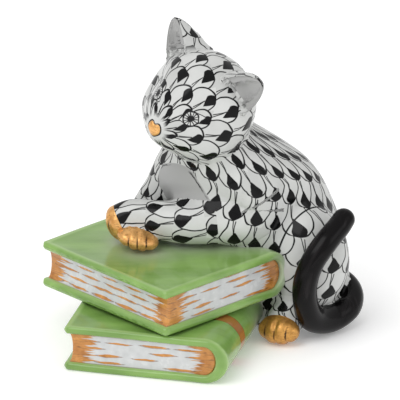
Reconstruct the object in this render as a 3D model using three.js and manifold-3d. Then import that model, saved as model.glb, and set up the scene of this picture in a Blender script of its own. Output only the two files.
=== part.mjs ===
// Cat curled over two stacked books, a small hand-painted porcelain figurine.
// Millimetres, +Z up. The viewer of the ornament stands at -Y, +X is to the right.
// The cat sits behind and to the right of the books, lies across them on crossed forelegs,
// and its tail comes round the right side and up over the near thigh.
//
// Every piece is a separate casting: the pieces are luted together with slip before firing,
// so each one stops LUTE short of its neighbour.

import * as THREE from 'three';
import { ParametricGeometry } from 'three/addons/geometries/ParametricGeometry.js';
import { mergeVertices } from 'three/addons/utils/BufferGeometryUtils.js';
import Module from 'manifold-3d';

// ---------------------------------------------------------------- driving dimensions

const LUTE = 0.3;                     // slip joint between two castings

const LOWER_BOOK = {
  width: 36,                          // fore-edge to the outside of the spine
  length: 38,                         // head to tail, along the spine
  thickness: 10,
  board: 1.7,                         // cover board
  overhang: 0.9,                      // board past the page block
  hollow: 0.9,                        // depth of the concave fore-edge
  spine: 5.4,                         // how far the spine bulges past the boards
  wall: 2.7,                          // the cover's wall in the middle of the spine
  corner: [-29.1, -18.8],             // near fore-edge corner
  turn: -14.5,                        // degrees about Z
};
const UPPER_BOOK = {
  width: 36,
  length: 38.8,
  thickness: 10.3,
  board: 1.8,
  overhang: 0.9,
  hollow: 1.2,
  spine: 4.4,
  wall: 1.7,
  corner: [-7.4, -25.5],
  turn: 43,
};

const HEAD = {
  centre: [-0.4, 6.0, 51.0],
  radii: [11.5, 12.3, 11.6],          // forward, sideways, up
  back: 12.6,                         // behind the ears
  temple: 2.4,                        // how far the temples are drawn in beside the muzzle
  muzzle: 1.9,                        // how far the muzzle stands out of the skull
  cheek: 0.9,
  turn: 45.8,                         // degrees the face turns from -X toward -Y
  tilt: -16.2,                        // degrees the head leans onto its left cheek
};
const EAR = {
  base: [0.03, 0.73, 0.664],          // forward, sideways, up, as shares of the head's radii
  tip: [-0.174, 1.09, 1.15],
  halfWidth: 4.7,
  depth: 9.0,                         // how deep the cone of the ear is behind its rim
  bowl: 2.1,                          // depth of the hollow in front
};
const NOSE = { width: 3.4, height: 3.5, proud: 0.5 };

const TAIL_RADIUS = 3.1;              // at its thickest, low on the bend

// ---------------------------------------------------------------- finishes

const finish = (color, roughness, metalness = 0) =>
  new THREE.MeshStandardMaterial({ color, roughness, metalness });
const PAINTED = finish(0xd9dad8, 0.18);
const GILDED = finish(0xcf9040, 0.28, 0.35);
const BLACK = finish(0x1c191a, 0.12);
const COVER = finish(0x8dbb6a, 0.2);
const PAGES = finish(0xe4e2dc, 0.25);

// ---------------------------------------------------------------- solids

const wasm = await Module();
wasm.setup();
const WELD = 1e-4;

/** Welds a closed geometry's vertices and makes a manifold solid that faces outward. */
function toSolid(geometry) {
  const bare = new THREE.BufferGeometry();
  const source = geometry.getAttribute('position');
  bare.setAttribute('position', source.clone());
  const count = source.count;
  bare.setIndex(geometry.getIndex() ? [...geometry.getIndex().array] : [...Array(count).keys()]);
  const welded = mergeVertices(bare, WELD);
  const points = welded.getAttribute('position').array;
  const index = welded.getIndex().array;
  const tris = [];
  let volume = 0;
  const a = new THREE.Vector3();
  const b = new THREE.Vector3();
  const c = new THREE.Vector3();
  for (let i = 0; i < index.length; i += 3) {
    const [p, q, r] = [index[i], index[i + 1], index[i + 2]];
    if (p === q || q === r || r === p) continue;
    tris.push(p, q, r);
    a.fromArray(points, 3 * p);
    b.fromArray(points, 3 * q);
    c.fromArray(points, 3 * r);
    volume += a.dot(b.cross(c));
  }
  if (volume < 0) {
    for (let i = 0; i < tris.length; i += 3) [tris[i], tris[i + 1]] = [tris[i + 1], tris[i]];
  }
  return new wasm.Manifold(new wasm.Mesh({
    numProp: 3,
    vertProperties: new Float32Array(points),
    triVerts: new Uint32Array(tris),
  }));
}

/** Makes the named mesh of a piece from its solid. */
function toMesh(name, solid, material) {
  const mesh = solid.getMesh();
  const geometry = new THREE.BufferGeometry();
  geometry.setAttribute('position', new THREE.Float32BufferAttribute(mesh.vertProperties, 3));
  geometry.setIndex([...mesh.triVerts]);
  geometry.computeVertexNormals();
  const piece = new THREE.Mesh(geometry, material);
  piece.name = name;
  return piece;
}

/** A closed skin over a list of rings, each of which gives a point for an angle. */
function skin(rings, around) {
  const last = rings.length - 1;
  const point = (u, v, target) => target.copy(rings[Math.round(v * last)](2 * Math.PI * u));
  return toSolid(new ParametricGeometry(point, around, last));
}

const still = (p) => () => p;

/**
 * A limb: an oval section carried along a smooth line through the stations
 * [x, y, z, half width, half height], between two shares of its length.
 * `ref` is the direction that the section's height leans toward. An end is flat, or
 * rounded by a cap of the given length. `grow` adds clearance all over.
 */
function limb(stations, { ref, around = 18, along = 16, from = 0, to = 1,
  capStart = 0, capEnd = 0, grow = 0 }) {
  const path = new THREE.CatmullRomCurve3(stations.map((s) => new THREE.Vector3(s[0], s[1], s[2])),
    false, 'catmullrom', 0.5);
  const size = new THREE.SplineCurve(stations.map((s) => new THREE.Vector2(s[3], s[4])));
  const up = new THREE.Vector3(...ref);
  const rings = [];
  const ringAt = (t, shift, shrink) => {
    const tangent = path.getTangent(t);
    const side = new THREE.Vector3().crossVectors(tangent, up).normalize();
    const rise = new THREE.Vector3().crossVectors(side, tangent);
    const centre = path.getPoint(t).addScaledVector(tangent, shift);
    const half = size.getPoint(t);
    const wide = (half.x + grow) * shrink;
    const high = (half.y + grow) * shrink;
    return (angle) => centre.clone()
      .addScaledVector(side, wide * Math.cos(angle))
      .addScaledVector(rise, high * Math.sin(angle));
  };
  const CAP = 4;
  const cap = (t, length, sign) => {
    const out = [];
    const reach = length > 0 ? length + grow : grow;
    for (let k = 0; k < CAP; k += 1) {
      const q = (Math.PI / 2) * (1 - k / CAP);
      out.push(ringAt(t, sign * reach * Math.sin(q), Math.cos(q)));
    }
    return out;
  };
  if (capStart > 0) rings.push(...cap(from, capStart, -1));
  else rings.push(ringAt(from, -grow, 0), ringAt(from, -grow, 1));
  for (let k = 0; k <= along; k += 1) rings.push(ringAt(from + (to - from) * (k / along), 0, 1));
  if (capEnd > 0) rings.push(...cap(to, capEnd, 1).reverse());
  else rings.push(ringAt(to, grow, 1), ringAt(to, grow, 0));
  return skin(rings, around);
}

/** An ellipsoid about a centre. */
function ellipsoid(centre, radii, around, along) {
  const geometry = new THREE.SphereGeometry(1, around, along);
  geometry.scale(...radii);
  geometry.translate(...centre);
  return toSolid(geometry);
}

// ---------------------------------------------------------------- books

/** Where a book's own frame lies: x from fore-edge to spine, y along the spine. */
function bookMatrix(book, base) {
  const turn = new THREE.Matrix4().makeRotationZ(THREE.MathUtils.degToRad(book.turn));
  return new THREE.Matrix4().makeTranslation(book.corner[0], book.corner[1], base).multiply(turn);
}

/** Stands an outline drawn in x and z up along y, from y0 to y1. */
function prism(shape, y0, y1, matrix) {
  const geometry = new THREE.ExtrudeGeometry(shape,
    { depth: y1 - y0, bevelEnabled: false, curveSegments: 10 });
  geometry.rotateX(Math.PI / 2);
  geometry.translate(0, y1, 0);
  geometry.applyMatrix4(matrix);
  return toSolid(geometry);
}

/** The round back of a book between two heights, as points of a shallow arc. */
function backArc(x, low, high, bulge, steps) {
  const points = [];
  for (let k = 0; k <= steps; k += 1) {
    const q = Math.PI * (k / steps - 0.5);
    const z = (low + high) / 2 + ((high - low) / 2) * Math.sin(q);
    points.push(new THREE.Vector2(x + bulge * Math.cos(q), z));
  }
  return points;
}

/** The bulge of the spine's inside, which leaves the spine's wall. */
const innerBulge = (book) => Math.max(book.spine - book.wall, 0.5);

/** Two boards and a round spine in one bent sheet. */
function bookCover(book, base, grow = 0) {
  const { width, length, thickness, board, spine } = book;
  const flat = width - spine;
  const outer = backArc(flat, -grow, thickness + grow, spine + grow, 10);
  const shape = new THREE.Shape();
  shape.moveTo(-grow, -grow);
  outer.forEach((p) => shape.lineTo(p.x, p.y));
  shape.lineTo(-grow, thickness + grow);
  if (grow === 0) {
    shape.lineTo(0, thickness - board);
    const inner = backArc(flat, board, thickness - board, innerBulge(book), 10).reverse();
    inner.forEach((p) => shape.lineTo(p.x, p.y));
    shape.lineTo(0, board);
  }
  shape.closePath();
  return prism(shape, -grow, length + grow, bookMatrix(book, base));
}

/** The page block: a hollowed fore-edge on one side, a round back on the other. */
function bookPages(book, base) {
  const { width, length, thickness, board, overhang, hollow, spine } = book;
  const flat = width - spine;
  const low = board + LUTE;
  const high = thickness - board - LUTE;
  const shape = new THREE.Shape();
  shape.moveTo(overhang, low);
  backArc(flat, low, high, innerBulge(book) - LUTE, 10).forEach((p) => shape.lineTo(p.x, p.y));
  backArc(overhang, low, high, hollow, 8).reverse().forEach((p) => shape.lineTo(p.x, p.y));
  shape.closePath();
  return prism(shape, overhang, length - overhang, bookMatrix(book, base));
}

const upperBase = LOWER_BOOK.thickness + LUTE;
const bookTop = upperBase + UPPER_BOOK.thickness;

const lowerCover = bookCover(LOWER_BOOK, 0);
const lowerPages = bookPages(LOWER_BOOK, 0);
const upperCover = bookCover(UPPER_BOOK, upperBase);
const upperPages = bookPages(UPPER_BOOK, upperBase);
const booksClear = bookCover(LOWER_BOOK, 0, LUTE).add(bookCover(UPPER_BOOK, upperBase, LUTE));

// ---------------------------------------------------------------- head

const headFrame = new THREE.Matrix4();
{
  const turn = THREE.MathUtils.degToRad(HEAD.turn);
  const forward = new THREE.Vector3(-Math.cos(turn), -Math.sin(turn), 0);
  const left = new THREE.Vector3(Math.sin(turn), -Math.cos(turn), 0);
  const up = new THREE.Vector3(0, 0, 1);
  const lean = new THREE.Quaternion()
    .setFromAxisAngle(forward, THREE.MathUtils.degToRad(HEAD.tilt));
  left.applyQuaternion(lean);
  up.applyQuaternion(lean);
  headFrame.makeBasis(forward, left, up).setPosition(...HEAD.centre);
}

/** How far the skull reaches in a direction: an ellipsoid, a muzzle, cheeks and temples. */
function skullReach(d, grow) {
  const [front, rl, ru] = HEAD.radii;
  const rf = d.x > 0 ? front : HEAD.back;
  const round = 1 / Math.sqrt((d.x / rf) ** 2 + (d.y / rl) ** 2 + (d.z / ru) ** 2);
  const near = (x, y, z, spread) =>
    Math.exp(-((new THREE.Vector3(x, y, z).normalize().angleTo(d) / spread) ** 2));
  const muzzle = HEAD.muzzle * near(1, 0, -0.28, 0.42);
  const cheeks = HEAD.cheek * (near(0.35, 0.8, -0.5, 0.45) + near(0.35, -0.8, -0.5, 0.45));
  const temples = HEAD.temple * (near(0.56, 0.78, 0.3, 0.46) + near(0.56, -0.78, 0.3, 0.46));
  return round + muzzle + cheeks - temples + grow;
}

function skull(grow = 0, around = 30, along = 22) {
  const geometry = new THREE.SphereGeometry(1, around, along);
  const position = geometry.getAttribute('position');
  const d = new THREE.Vector3();
  for (let i = 0; i < position.count; i += 1) {
    d.fromBufferAttribute(position, i).normalize();
    const reach = skullReach(d, grow);
    position.setXYZ(i, d.x * reach, d.y * reach, d.z * reach);
  }
  geometry.applyMatrix4(headFrame);
  return toSolid(geometry);
}

/** An ear: a half cone with a hollow in front, on the skull. side is 1 for the cat's left. */
function ear(side) {
  const onHead = ([forward, sideways, up]) => new THREE.Vector3(
    forward * HEAD.radii[0], side * sideways * HEAD.radii[1], up * HEAD.radii[2]);
  const base = onHead(EAR.base);
  const tip = onHead(EAR.tip);
  const axis = tip.clone().sub(base);
  const height = axis.length();
  axis.normalize();
  const root = base.clone().addScaledVector(axis, -0.3 * height);
  const open = new THREE.Vector3(0.957, side * 0.265, -0.094);
  open.addScaledVector(axis, -open.dot(axis)).normalize();
  const across = new THREE.Vector3().crossVectors(open, axis);
  const rings = [];
  const ROWS = 11;
  for (let k = 0; k <= ROWS; k += 1) {
    const s = k / ROWS;
    const taper = Math.sqrt(Math.max(0, 1 - s ** 2.8)) * (1 - 0.18 * s);
    const wide = EAR.halfWidth * taper;
    const back = EAR.depth * (1 - s) ** 0.75 * 0.96 + 0.9 * taper;
    const bowl = EAR.bowl * (1 - s) ** 0.6 * taper;
    const centre = root.clone().addScaledVector(axis, 1.3 * height * s);
    rings.push((angle) => {
      const sine = Math.sin(angle);
      const deep = sine >= 0 ? -back * sine : bowl * sine;
      return centre.clone().addScaledVector(across, wide * Math.cos(angle)).addScaledVector(open, deep);
    });
  }
  rings.unshift(still(root));
  rings.push(still(tip));
  const place = (ring) => (angle) => ring(angle).clone().applyMatrix4(headFrame);
  return skin(rings.map(place), 16);
}

/** The nose pad: a shallow heart-shaped lens on the end of the muzzle. */
function nose() {
  const aim = new THREE.Vector3(1, 0, -0.15).normalize();
  const tip = skullReach(aim, LUTE);
  const across = new THREE.Vector3(0, 1, 0);
  const up = new THREE.Vector3().crossVectors(aim, across);
  const rings = [];
  const ROWS = 6;
  for (let k = 0; k <= ROWS; k += 1) {
    const q = (Math.PI * k) / ROWS;
    const spread = Math.sin(q);
    const lift = k > ROWS / 2 ? 0 : NOSE.proud * Math.cos(q);
    rings.push((angle) => {
      const lobes = 1 - 0.4 * Math.exp(-(((angle - Math.PI / 2) / 0.45) ** 2));
      const narrow = Math.sin(angle) < 0 ? 1 - 0.45 * Math.sin(angle) ** 2 : 1;
      const x = 0.5 * NOSE.width * spread * Math.cos(angle) * narrow;
      const z = 0.5 * NOSE.height * spread * Math.sin(angle) * lobes;
      const d = aim.clone().addScaledVector(across, x / tip).addScaledVector(up, z / tip)
        .normalize();
      return d.multiplyScalar(skullReach(d, LUTE) + lift + 0.05 * spread)
        .applyMatrix4(headFrame);
    });
  }
  return skin(rings, 18);
}

const headClear = skull(LUTE);

// ---------------------------------------------------------------- legs and tail

// Stations: x, y, z, half width, half height. The right foreleg's section is turned a
// quarter, so its half width stands upright on the book and its half height lies level.
const fore = bookTop + LUTE;
const FORELEG_LEFT = [
  [6.5, 5.5, 38.5, 4.2, 4.2],
  [9.8, 4.0, 34.0, 5.8, 5.8],
  [12.2, 4.2, 29.0, 6.2, 6.2],
  [9.5, 3.0, fore + 5.6, 5.8, 5.5],
  [3.5, 1.6, fore + 5.1, 5.1, 5.0],
  [-3.0, 1.2, fore + 4.7, 4.6, 4.5],
  [-9.0, 2.0, fore + 5.0, 4.2, 3.6],
  [-14.0, 2.8, fore + 5.2, 4.1, 3.2],
  [-17.3, 2.9, fore + 3.9, 4.0, 3.5],
];
const LEFT_GILT = 0.97;               // share of the left foreleg where its paw begins
const FORELEG_RIGHT = [
  [-2.4, 13.5, 39.0, 3.4, 3.4],
  [-4.9, 13.0, 35.0, 3.9, 3.9],
  [-7.4, 12.6, 30.0, 4.0, 3.9],
  [-10.4, 11.3, fore + 4.2, 4.0, 3.9],
  [-12.2, 7.0, fore + 3.0, 2.9, 3.9],
  [-13.0, 2.0, fore + 2.4, 2.4, 4.1],
  [-13.2, -1.6, fore + 2.1, 2.2, 4.5],
];
const RIGHT_GILT = 0.88;
const THIGH_LEFT = { centre: [22.8, 4.2, 16.0], radii: [9.0, 7.2, 12.0] };
const SHANK_LEFT = [
  [21.5, 4.5, 10.0, 5.0, 4.8],
  [19.6, 1.0, 6.2, 4.4, 4.0],
  [17.6, -2.4, 3.8, 4.2, 3.3],
  [16.8, -4.4, 3.1, 4.6, 3.0],
];
const THIGH_RIGHT = { centre: [20.5, 19.5, 14.5], radii: [9.2, 6.6, 11.0] };
const SHANK_RIGHT = [
  [20.5, 21.0, 8.5, 5.6, 4.8],
  [17.0, 22.6, 5.4, 4.6, 4.2],
  [13.6, 23.4, 3.6, 4.2, 3.3],
  [11.4, 23.4, 3.1, 4.3, 3.0],
];
const HIND_GILT = 0.78;
const TAIL = [
  [26.5, 14.5, 8.6, 2.6, 2.6],
  [31.0, 12.0, 7.2, 2.3, 2.3],
  [32.6, 8.3, 5.9, 2.2, 2.2],
  [31.4, 4.8, 4.3, 2.7, 2.7],
  [27.6, 1.8, TAIL_RADIUS + 0.2, TAIL_RADIUS, TAIL_RADIUS],
  [23.9, -2.4, 5.2, 3.0, 3.0],
  [22.5, -5.6, 9.9, 2.7, 2.7],
  [22.4, -7.4, 15.2, 2.65, 2.65],
  [23.9, -7.6, 20.1, 2.6, 2.6],
  [26.6, -6.2, 23.9, 2.6, 2.6],
  [29.4, -3.2, 26.4, 2.5, 2.5],
  [30.6, -1.6, 27.6, 2.4, 2.4],
];

const Z = [0, 0, 1];
const Y = [0, 1, 0];
const armLeft = { ref: Y, around: 16, capStart: 3.6 };
const armRight = { ref: [-0.9, 0.35, 0.25], around: 14, capStart: 3.0 };
const shank = { ref: Z, around: 14 };
const tailShape = { ref: [0.55, 0.8, 0.2], around: 12, along: 38, capStart: 2, capEnd: 2.3 };

/** Length of a station line, to turn a joint's width into a share of the line. */
function lineLength(stations) {
  return new THREE.CatmullRomCurve3(stations.map((s) => new THREE.Vector3(s[0], s[1], s[2])))
    .getLength();
}
const share = (stations) => LUTE / lineLength(stations);

const forelegLeft = limb(FORELEG_LEFT, { ...armLeft, along: 16, to: LEFT_GILT });
const pawLeft = limb(FORELEG_LEFT,
  { ...armLeft, along: 3, from: LEFT_GILT + share(FORELEG_LEFT), capStart: 0, capEnd: 2.6 });
const armLeftClear = limb(FORELEG_LEFT, { ...armLeft, along: 18, capEnd: 2.6, grow: LUTE });

const forelegRight = limb(FORELEG_RIGHT, { ...armRight, along: 14, to: RIGHT_GILT });
const pawRight = limb(FORELEG_RIGHT,
  { ...armRight, along: 3, from: RIGHT_GILT + share(FORELEG_RIGHT), capStart: 0, capEnd: 3.2 });
const armRightClear = limb(FORELEG_RIGHT, { ...armRight, along: 16, capEnd: 3.2, grow: LUTE });

const hindLeft = ellipsoid(THIGH_LEFT.centre, THIGH_LEFT.radii, 22, 16)
  .add(limb(SHANK_LEFT, { ...shank, along: 6, capStart: 3, to: HIND_GILT }));
const hindPawLeftShape = { ...shank, along: 4, from: HIND_GILT + share(SHANK_LEFT), capEnd: 3 };
const hindPawLeft = limb(SHANK_LEFT, hindPawLeftShape);
const hindPawLeftClear = limb(SHANK_LEFT, { ...hindPawLeftShape, grow: LUTE });
const grown = (radii) => radii.map((r) => r + LUTE);
const hindLeftClear = ellipsoid(THIGH_LEFT.centre, grown(THIGH_LEFT.radii), 22, 16)
  .add(limb(SHANK_LEFT, { ...shank, along: 9, capStart: 3, capEnd: 3, grow: LUTE }));

const hindRight = ellipsoid(THIGH_RIGHT.centre, THIGH_RIGHT.radii, 20, 14)
  .add(limb(SHANK_RIGHT, { ...shank, along: 6, capStart: 3, to: HIND_GILT }));
const hindPawRightShape = { ...shank, along: 4, from: HIND_GILT + share(SHANK_RIGHT), capEnd: 3 };
const hindPawRight = limb(SHANK_RIGHT, hindPawRightShape);
const hindPawRightClear = limb(SHANK_RIGHT, { ...hindPawRightShape, grow: LUTE });
const hindRightClear = ellipsoid(THIGH_RIGHT.centre, grown(THIGH_RIGHT.radii), 20, 14)
  .add(limb(SHANK_RIGHT, { ...shank, along: 9, capStart: 3, capEnd: 3, grow: LUTE }));

const tail = limb(TAIL, tailShape);
const tailClear = limb(TAIL, { ...tailShape, grow: LUTE });

// ---------------------------------------------------------------- torso

// Level oval sections: z, x, y, half length, half width.
const TORSO = [
  [0, 18.6, 12.4, 9.6, 9.0],
  [1.2, 18.7, 12.4, 11.0, 10.2],
  [5, 18.7, 12.3, 12.4, 11.4],
  [12, 17.8, 12.0, 13.6, 12.0],
  [20, 15.0, 12.0, 15.2, 12.2],
  [26, 11.3, 12.0, 17.0, 12.2],
  [32, 8.4, 11.6, 17.2, 12.0],
  [36, 7.1, 11.2, 15.3, 11.6],
  [40, 5.4, 10.8, 11.6, 10.6],
  [44, 3.4, 10.2, 7.8, 8.0],
  [46.5, 2.4, 9.8, 4.4, 4.8],
];

function torsoBody() {
  const line = new THREE.CatmullRomCurve3(TORSO.map((s) => new THREE.Vector3(s[1], s[2], s[0])),
    false, 'catmullrom', 0.5);
  const size = new THREE.SplineCurve(TORSO.map((s) => new THREE.Vector2(s[3], s[4])));
  const ROWS = 24;
  const rings = [];
  for (let k = 0; k <= ROWS; k += 1) {
    const centre = line.getPoint(k / ROWS);
    const half = size.getPoint(k / ROWS);
    rings.push((angle) => new THREE.Vector3(
      centre.x + half.x * Math.cos(angle), centre.y + half.y * Math.sin(angle), centre.z));
  }
  rings.unshift(still(line.getPoint(0)));
  rings.push(still(line.getPoint(1)));
  return skin(rings, 32);
}

const torso = torsoBody()
  .subtract(headClear)
  .subtract(booksClear)
  .subtract(armLeftClear)
  .subtract(armRightClear)
  .subtract(hindLeftClear)
  .subtract(hindRightClear)
  .subtract(tailClear);

// ---------------------------------------------------------------- assembly

const pieces = [
  toMesh('torso', torso, PAINTED),
  toMesh('head', skull(), PAINTED),
  toMesh('ear_left', ear(1).subtract(headClear), PAINTED),
  toMesh('ear_right', ear(-1).subtract(headClear), PAINTED),
  toMesh('nose', nose(), GILDED),
  toMesh('foreleg_left', forelegLeft.subtract(headClear).subtract(booksClear), PAINTED),
  toMesh('forepaw_left', pawLeft.subtract(booksClear), GILDED),
  toMesh('foreleg_right', forelegRight.subtract(armLeftClear).subtract(headClear)
    .subtract(booksClear), PAINTED),
  toMesh('forepaw_right', pawRight.subtract(armLeftClear).subtract(booksClear), GILDED),
  toMesh('hind_leg_left', hindLeft.subtract(booksClear).subtract(armLeftClear)
    .subtract(tailClear).subtract(hindPawLeftClear), PAINTED),
  toMesh('hind_paw_left', hindPawLeft.subtract(booksClear), GILDED),
  toMesh('hind_leg_right', hindRight.subtract(booksClear).subtract(tailClear)
    .subtract(hindPawRightClear), PAINTED),
  toMesh('hind_paw_right', hindPawRight.subtract(booksClear), GILDED),
  toMesh('tail', tail, BLACK),
  toMesh('upper_book_cover', upperCover, COVER),
  toMesh('upper_book_pages', upperPages, PAGES),
  toMesh('lower_book_cover', lowerCover, COVER),
  toMesh('lower_book_pages', lowerPages, PAGES),
];

const figurine = new THREE.Group();
figurine.name = 'cat_on_books';
const cast = new THREE.Group();
pieces.forEach((piece) => cast.add(piece));
const box = new THREE.Box3().setFromObject(cast);
cast.position.set(-(box.min.x + box.max.x) / 2, -(box.min.y + box.max.y) / 2, -box.min.z);
figurine.add(cast);

export default figurine;
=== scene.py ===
# %% [markdown]
# # A porcelain kitten leaning on two books
#
# A small slip-cast and hand-painted figurine. The castings (body, head, ears, legs, tail and
# two books) are luted together with slip, fired, painted with a black scale pattern, green
# covers and gilt paws, and glazed. Each casting is its own object here, as it is in the frame.
# Every surface is worked out with numpy as a function of two parameters on a grid.

# %% Load the frame
import math
import bpy
import numpy as np
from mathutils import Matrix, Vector


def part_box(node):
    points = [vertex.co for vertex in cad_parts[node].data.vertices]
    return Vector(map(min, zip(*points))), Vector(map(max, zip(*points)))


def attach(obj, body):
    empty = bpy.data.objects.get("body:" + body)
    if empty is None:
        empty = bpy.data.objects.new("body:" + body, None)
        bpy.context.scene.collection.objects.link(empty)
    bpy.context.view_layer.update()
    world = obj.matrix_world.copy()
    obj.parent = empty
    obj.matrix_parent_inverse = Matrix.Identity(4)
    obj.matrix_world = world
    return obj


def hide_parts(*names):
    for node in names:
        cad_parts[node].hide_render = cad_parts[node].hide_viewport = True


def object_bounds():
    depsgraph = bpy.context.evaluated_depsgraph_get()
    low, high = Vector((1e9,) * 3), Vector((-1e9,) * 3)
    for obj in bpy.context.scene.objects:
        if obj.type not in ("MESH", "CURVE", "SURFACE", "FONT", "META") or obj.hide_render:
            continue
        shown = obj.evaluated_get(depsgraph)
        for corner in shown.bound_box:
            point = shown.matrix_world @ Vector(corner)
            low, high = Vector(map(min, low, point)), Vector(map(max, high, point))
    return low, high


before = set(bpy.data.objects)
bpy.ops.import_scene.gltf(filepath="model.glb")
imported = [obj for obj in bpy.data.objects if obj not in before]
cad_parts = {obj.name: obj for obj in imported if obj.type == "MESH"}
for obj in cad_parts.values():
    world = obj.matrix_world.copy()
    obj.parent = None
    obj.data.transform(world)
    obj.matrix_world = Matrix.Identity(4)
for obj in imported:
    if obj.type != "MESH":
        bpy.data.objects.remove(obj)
CAD_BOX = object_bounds()
print("frame box, mm:", [[round(1000 * c, 2) for c in p] for p in CAD_BOX])

# %% [markdown]
# The shapes are laid out in millimetres on the drawing board's own grid. The frame puts the
# origin in the middle of the footprint, so two known book corners give the shift between them.
# A book is measured closed: width from fore-edge to spine, length along the spine, thickness,
# and its boards, the bulge of its spine and the spine's wall. Its corner is the one at the foot
# of the fore-edge, and it is turned about that.

# %% The drawing grid and the frame
MM = 0.001
LOWER = dict(width=36.0, length=38.0, thick=10.0, board=1.7, spine=5.4, wall=2.7,
             corner=(-29.1, -18.8), turn=-14.5)
UPPER = dict(width=36.0, length=38.8, thick=10.3, board=1.8, spine=4.4, wall=1.7,
             corner=(-7.4, -25.5), turn=43.0)
SLIP = 0.3                          # thickness of the slip between the books
UPPER_BASE = LOWER["thick"] + SLIP
SHIFT = np.array([
    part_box("lower_book_cover")[0].x / MM - LOWER["corner"][0],
    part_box("upper_book_cover")[0].y / MM - UPPER["corner"][1],
    0.0,
])
BOOK_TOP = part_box("upper_book_cover")[1].z / MM
print("shift, mm:", SHIFT.round(3), " top of the books:", round(BOOK_TOP, 2))

# %% [markdown]
# A closed grid is the basic sheet of clay. Rings of points run one way and the angle round the
# ring the other; a point at each end closes it. The pattern's own coordinates are kept per
# corner, so the seam where the ring closes needs no doubled points.

# %% From a grid of points to a mesh
def closed_grid(name, points, pattern=None, ends=None, extras=None, later=None):
    """Rings (rows, around, 3) in mm joined to quads, with a fan to one point at each end.

    pattern has one more column than points: the last column is the first one a turn later.
    ends are the two closing points, or the mean of the first and of the last ring.
    extras are named numbers per point, shape (rows, around). later is (row, pattern): from that
    ring on the surface follows the other pattern."""
    rows, around, _ = points.shape
    if ends is None:
        ends = (points[0].mean(0), points[-1].mean(0))
    flat = np.vstack([points.reshape(-1, 3), ends[0], ends[1]])
    r, a = np.meshgrid(np.arange(rows - 1), np.arange(around), indexing="ij")
    nxt = (a + 1) % around
    quads = np.stack([r * around + a, r * around + nxt,
                      (r + 1) * around + nxt, (r + 1) * around + a], -1).reshape(-1, 4)
    edge = np.arange(around)
    after = (edge + 1) % around
    first, last = rows * around, rows * around + 1
    fan0 = np.stack([np.full(around, first), after, edge], -1)
    top = (rows - 1) * around
    fan1 = np.stack([np.full(around, last), top + edge, top + after], -1)
    tris = np.vstack([fan0, fan1])
    volume = np.einsum("ij,ij->i", flat[quads[:, 0]],
                       np.cross(flat[quads[:, 1]], flat[quads[:, 2]])
                       + np.cross(flat[quads[:, 2]], flat[quads[:, 3]])).sum()
    flip = volume < 0
    if flip:
        quads, tris = quads[:, ::-1], tris[:, ::-1]
    mesh = bpy.data.meshes.new(name)
    mesh.from_pydata((flat + SHIFT) * MM, [], quads.tolist() + tris.tolist())
    mesh.polygons.foreach_set("use_smooth", np.ones(len(mesh.polygons), bool))
    if pattern is not None:
        def at_corners(values):
            return np.stack([values[r, a], values[r, a + 1],
                             values[r + 1, a + 1], values[r + 1, a]], 2)

        uv, sizes = at_corners(pattern), cell_size(points, pattern)
        if later:
            row, other = later
            uv[row:] = at_corners(other)[row:]
            for size, far in zip(sizes, cell_size(points, other)):
                size[row:] = far[row:]
            pattern = np.concatenate([pattern[:row], other[row:]])
        uv = uv.reshape(-1, 4, 2)
        mid0 = (pattern[0, edge] + pattern[0, edge + 1]) / 2
        mid1 = (pattern[-1, edge] + pattern[-1, edge + 1]) / 2
        uv0 = np.stack([mid0, pattern[0, edge + 1], pattern[0, edge]], 1)
        uv1 = np.stack([mid1, pattern[-1, edge], pattern[-1, edge + 1]], 1)
        uvt = np.vstack([uv0, uv1])
        if flip:
            uv, uvt = uv[:, ::-1], uvt[:, ::-1]
        layer = mesh.uv_layers.new(name="pattern")
        layer.data.foreach_set("uv", np.concatenate([uv.reshape(-1), uvt.reshape(-1)]))
        extras = dict(extras or {}, cell_w=sizes[0], cell_h=sizes[1])
    for key, values in (extras or {}).items():
        data = np.concatenate([values.reshape(-1), [values[0].mean(), values[-1].mean()]])
        mesh.attributes.new(key, "FLOAT", "POINT").data.foreach_set("value", data)
    mesh.validate()
    piece = bpy.data.objects.new(name, mesh)
    bpy.context.collection.objects.link(piece)
    print(f"{name}: {len(mesh.polygons)} faces")
    return piece


SMALLEST, LARGEST = 1.5, 8.0        # a cell's size is kept between these, in mm


def cell_size(points, pattern):
    """How many mm one unit of each pattern direction covers at every point: one over the
    length of its gradient along the surface, from the metric of the grid."""
    wrap = np.concatenate([points[:, -1:], points, points[:, :1]], 1)
    along = (wrap[:, 2:] - wrap[:, :-2]) / 2
    down = np.gradient(points, axis=0)
    turn = pattern[:, 1:] - pattern[:, :-1]
    turn = (turn + np.roll(turn, 1, 1)) / 2
    fall = np.gradient(pattern[:, :-1], axis=0)
    aa, ad, dd = (along * along).sum(-1), (along * down).sum(-1), (down * down).sum(-1)
    det = np.maximum(aa * dd - ad * ad, 1e-9)
    sizes = []
    for k in (0, 1):
        p, q = turn[..., k], fall[..., k]
        slope = (dd * p * p - 2 * ad * p * q + aa * q * q) / det
        sizes.append(np.clip(1 / np.sqrt(np.maximum(slope, 1e-4)), SMALLEST, LARGEST))
    return sizes


def ring_normals(points):
    """Outward unit normals of a ring grid: the cross product of its two directions."""
    across = np.roll(points, -1, 1) - np.roll(points, 1, 1)
    down = np.gradient(points, axis=0)
    n = np.cross(across, down)
    n /= np.linalg.norm(n, axis=-1, keepdims=True) + 1e-12
    centre = points.mean(1, keepdims=True)
    outward = np.sign(np.sum(n * (points - centre), -1).mean())
    return n * outward


# %% [markdown]
# A smooth line through a few chosen stations is enough for a leg or a tail. The
# Catmull-Rom rule gives a curve that passes through every station.

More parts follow.
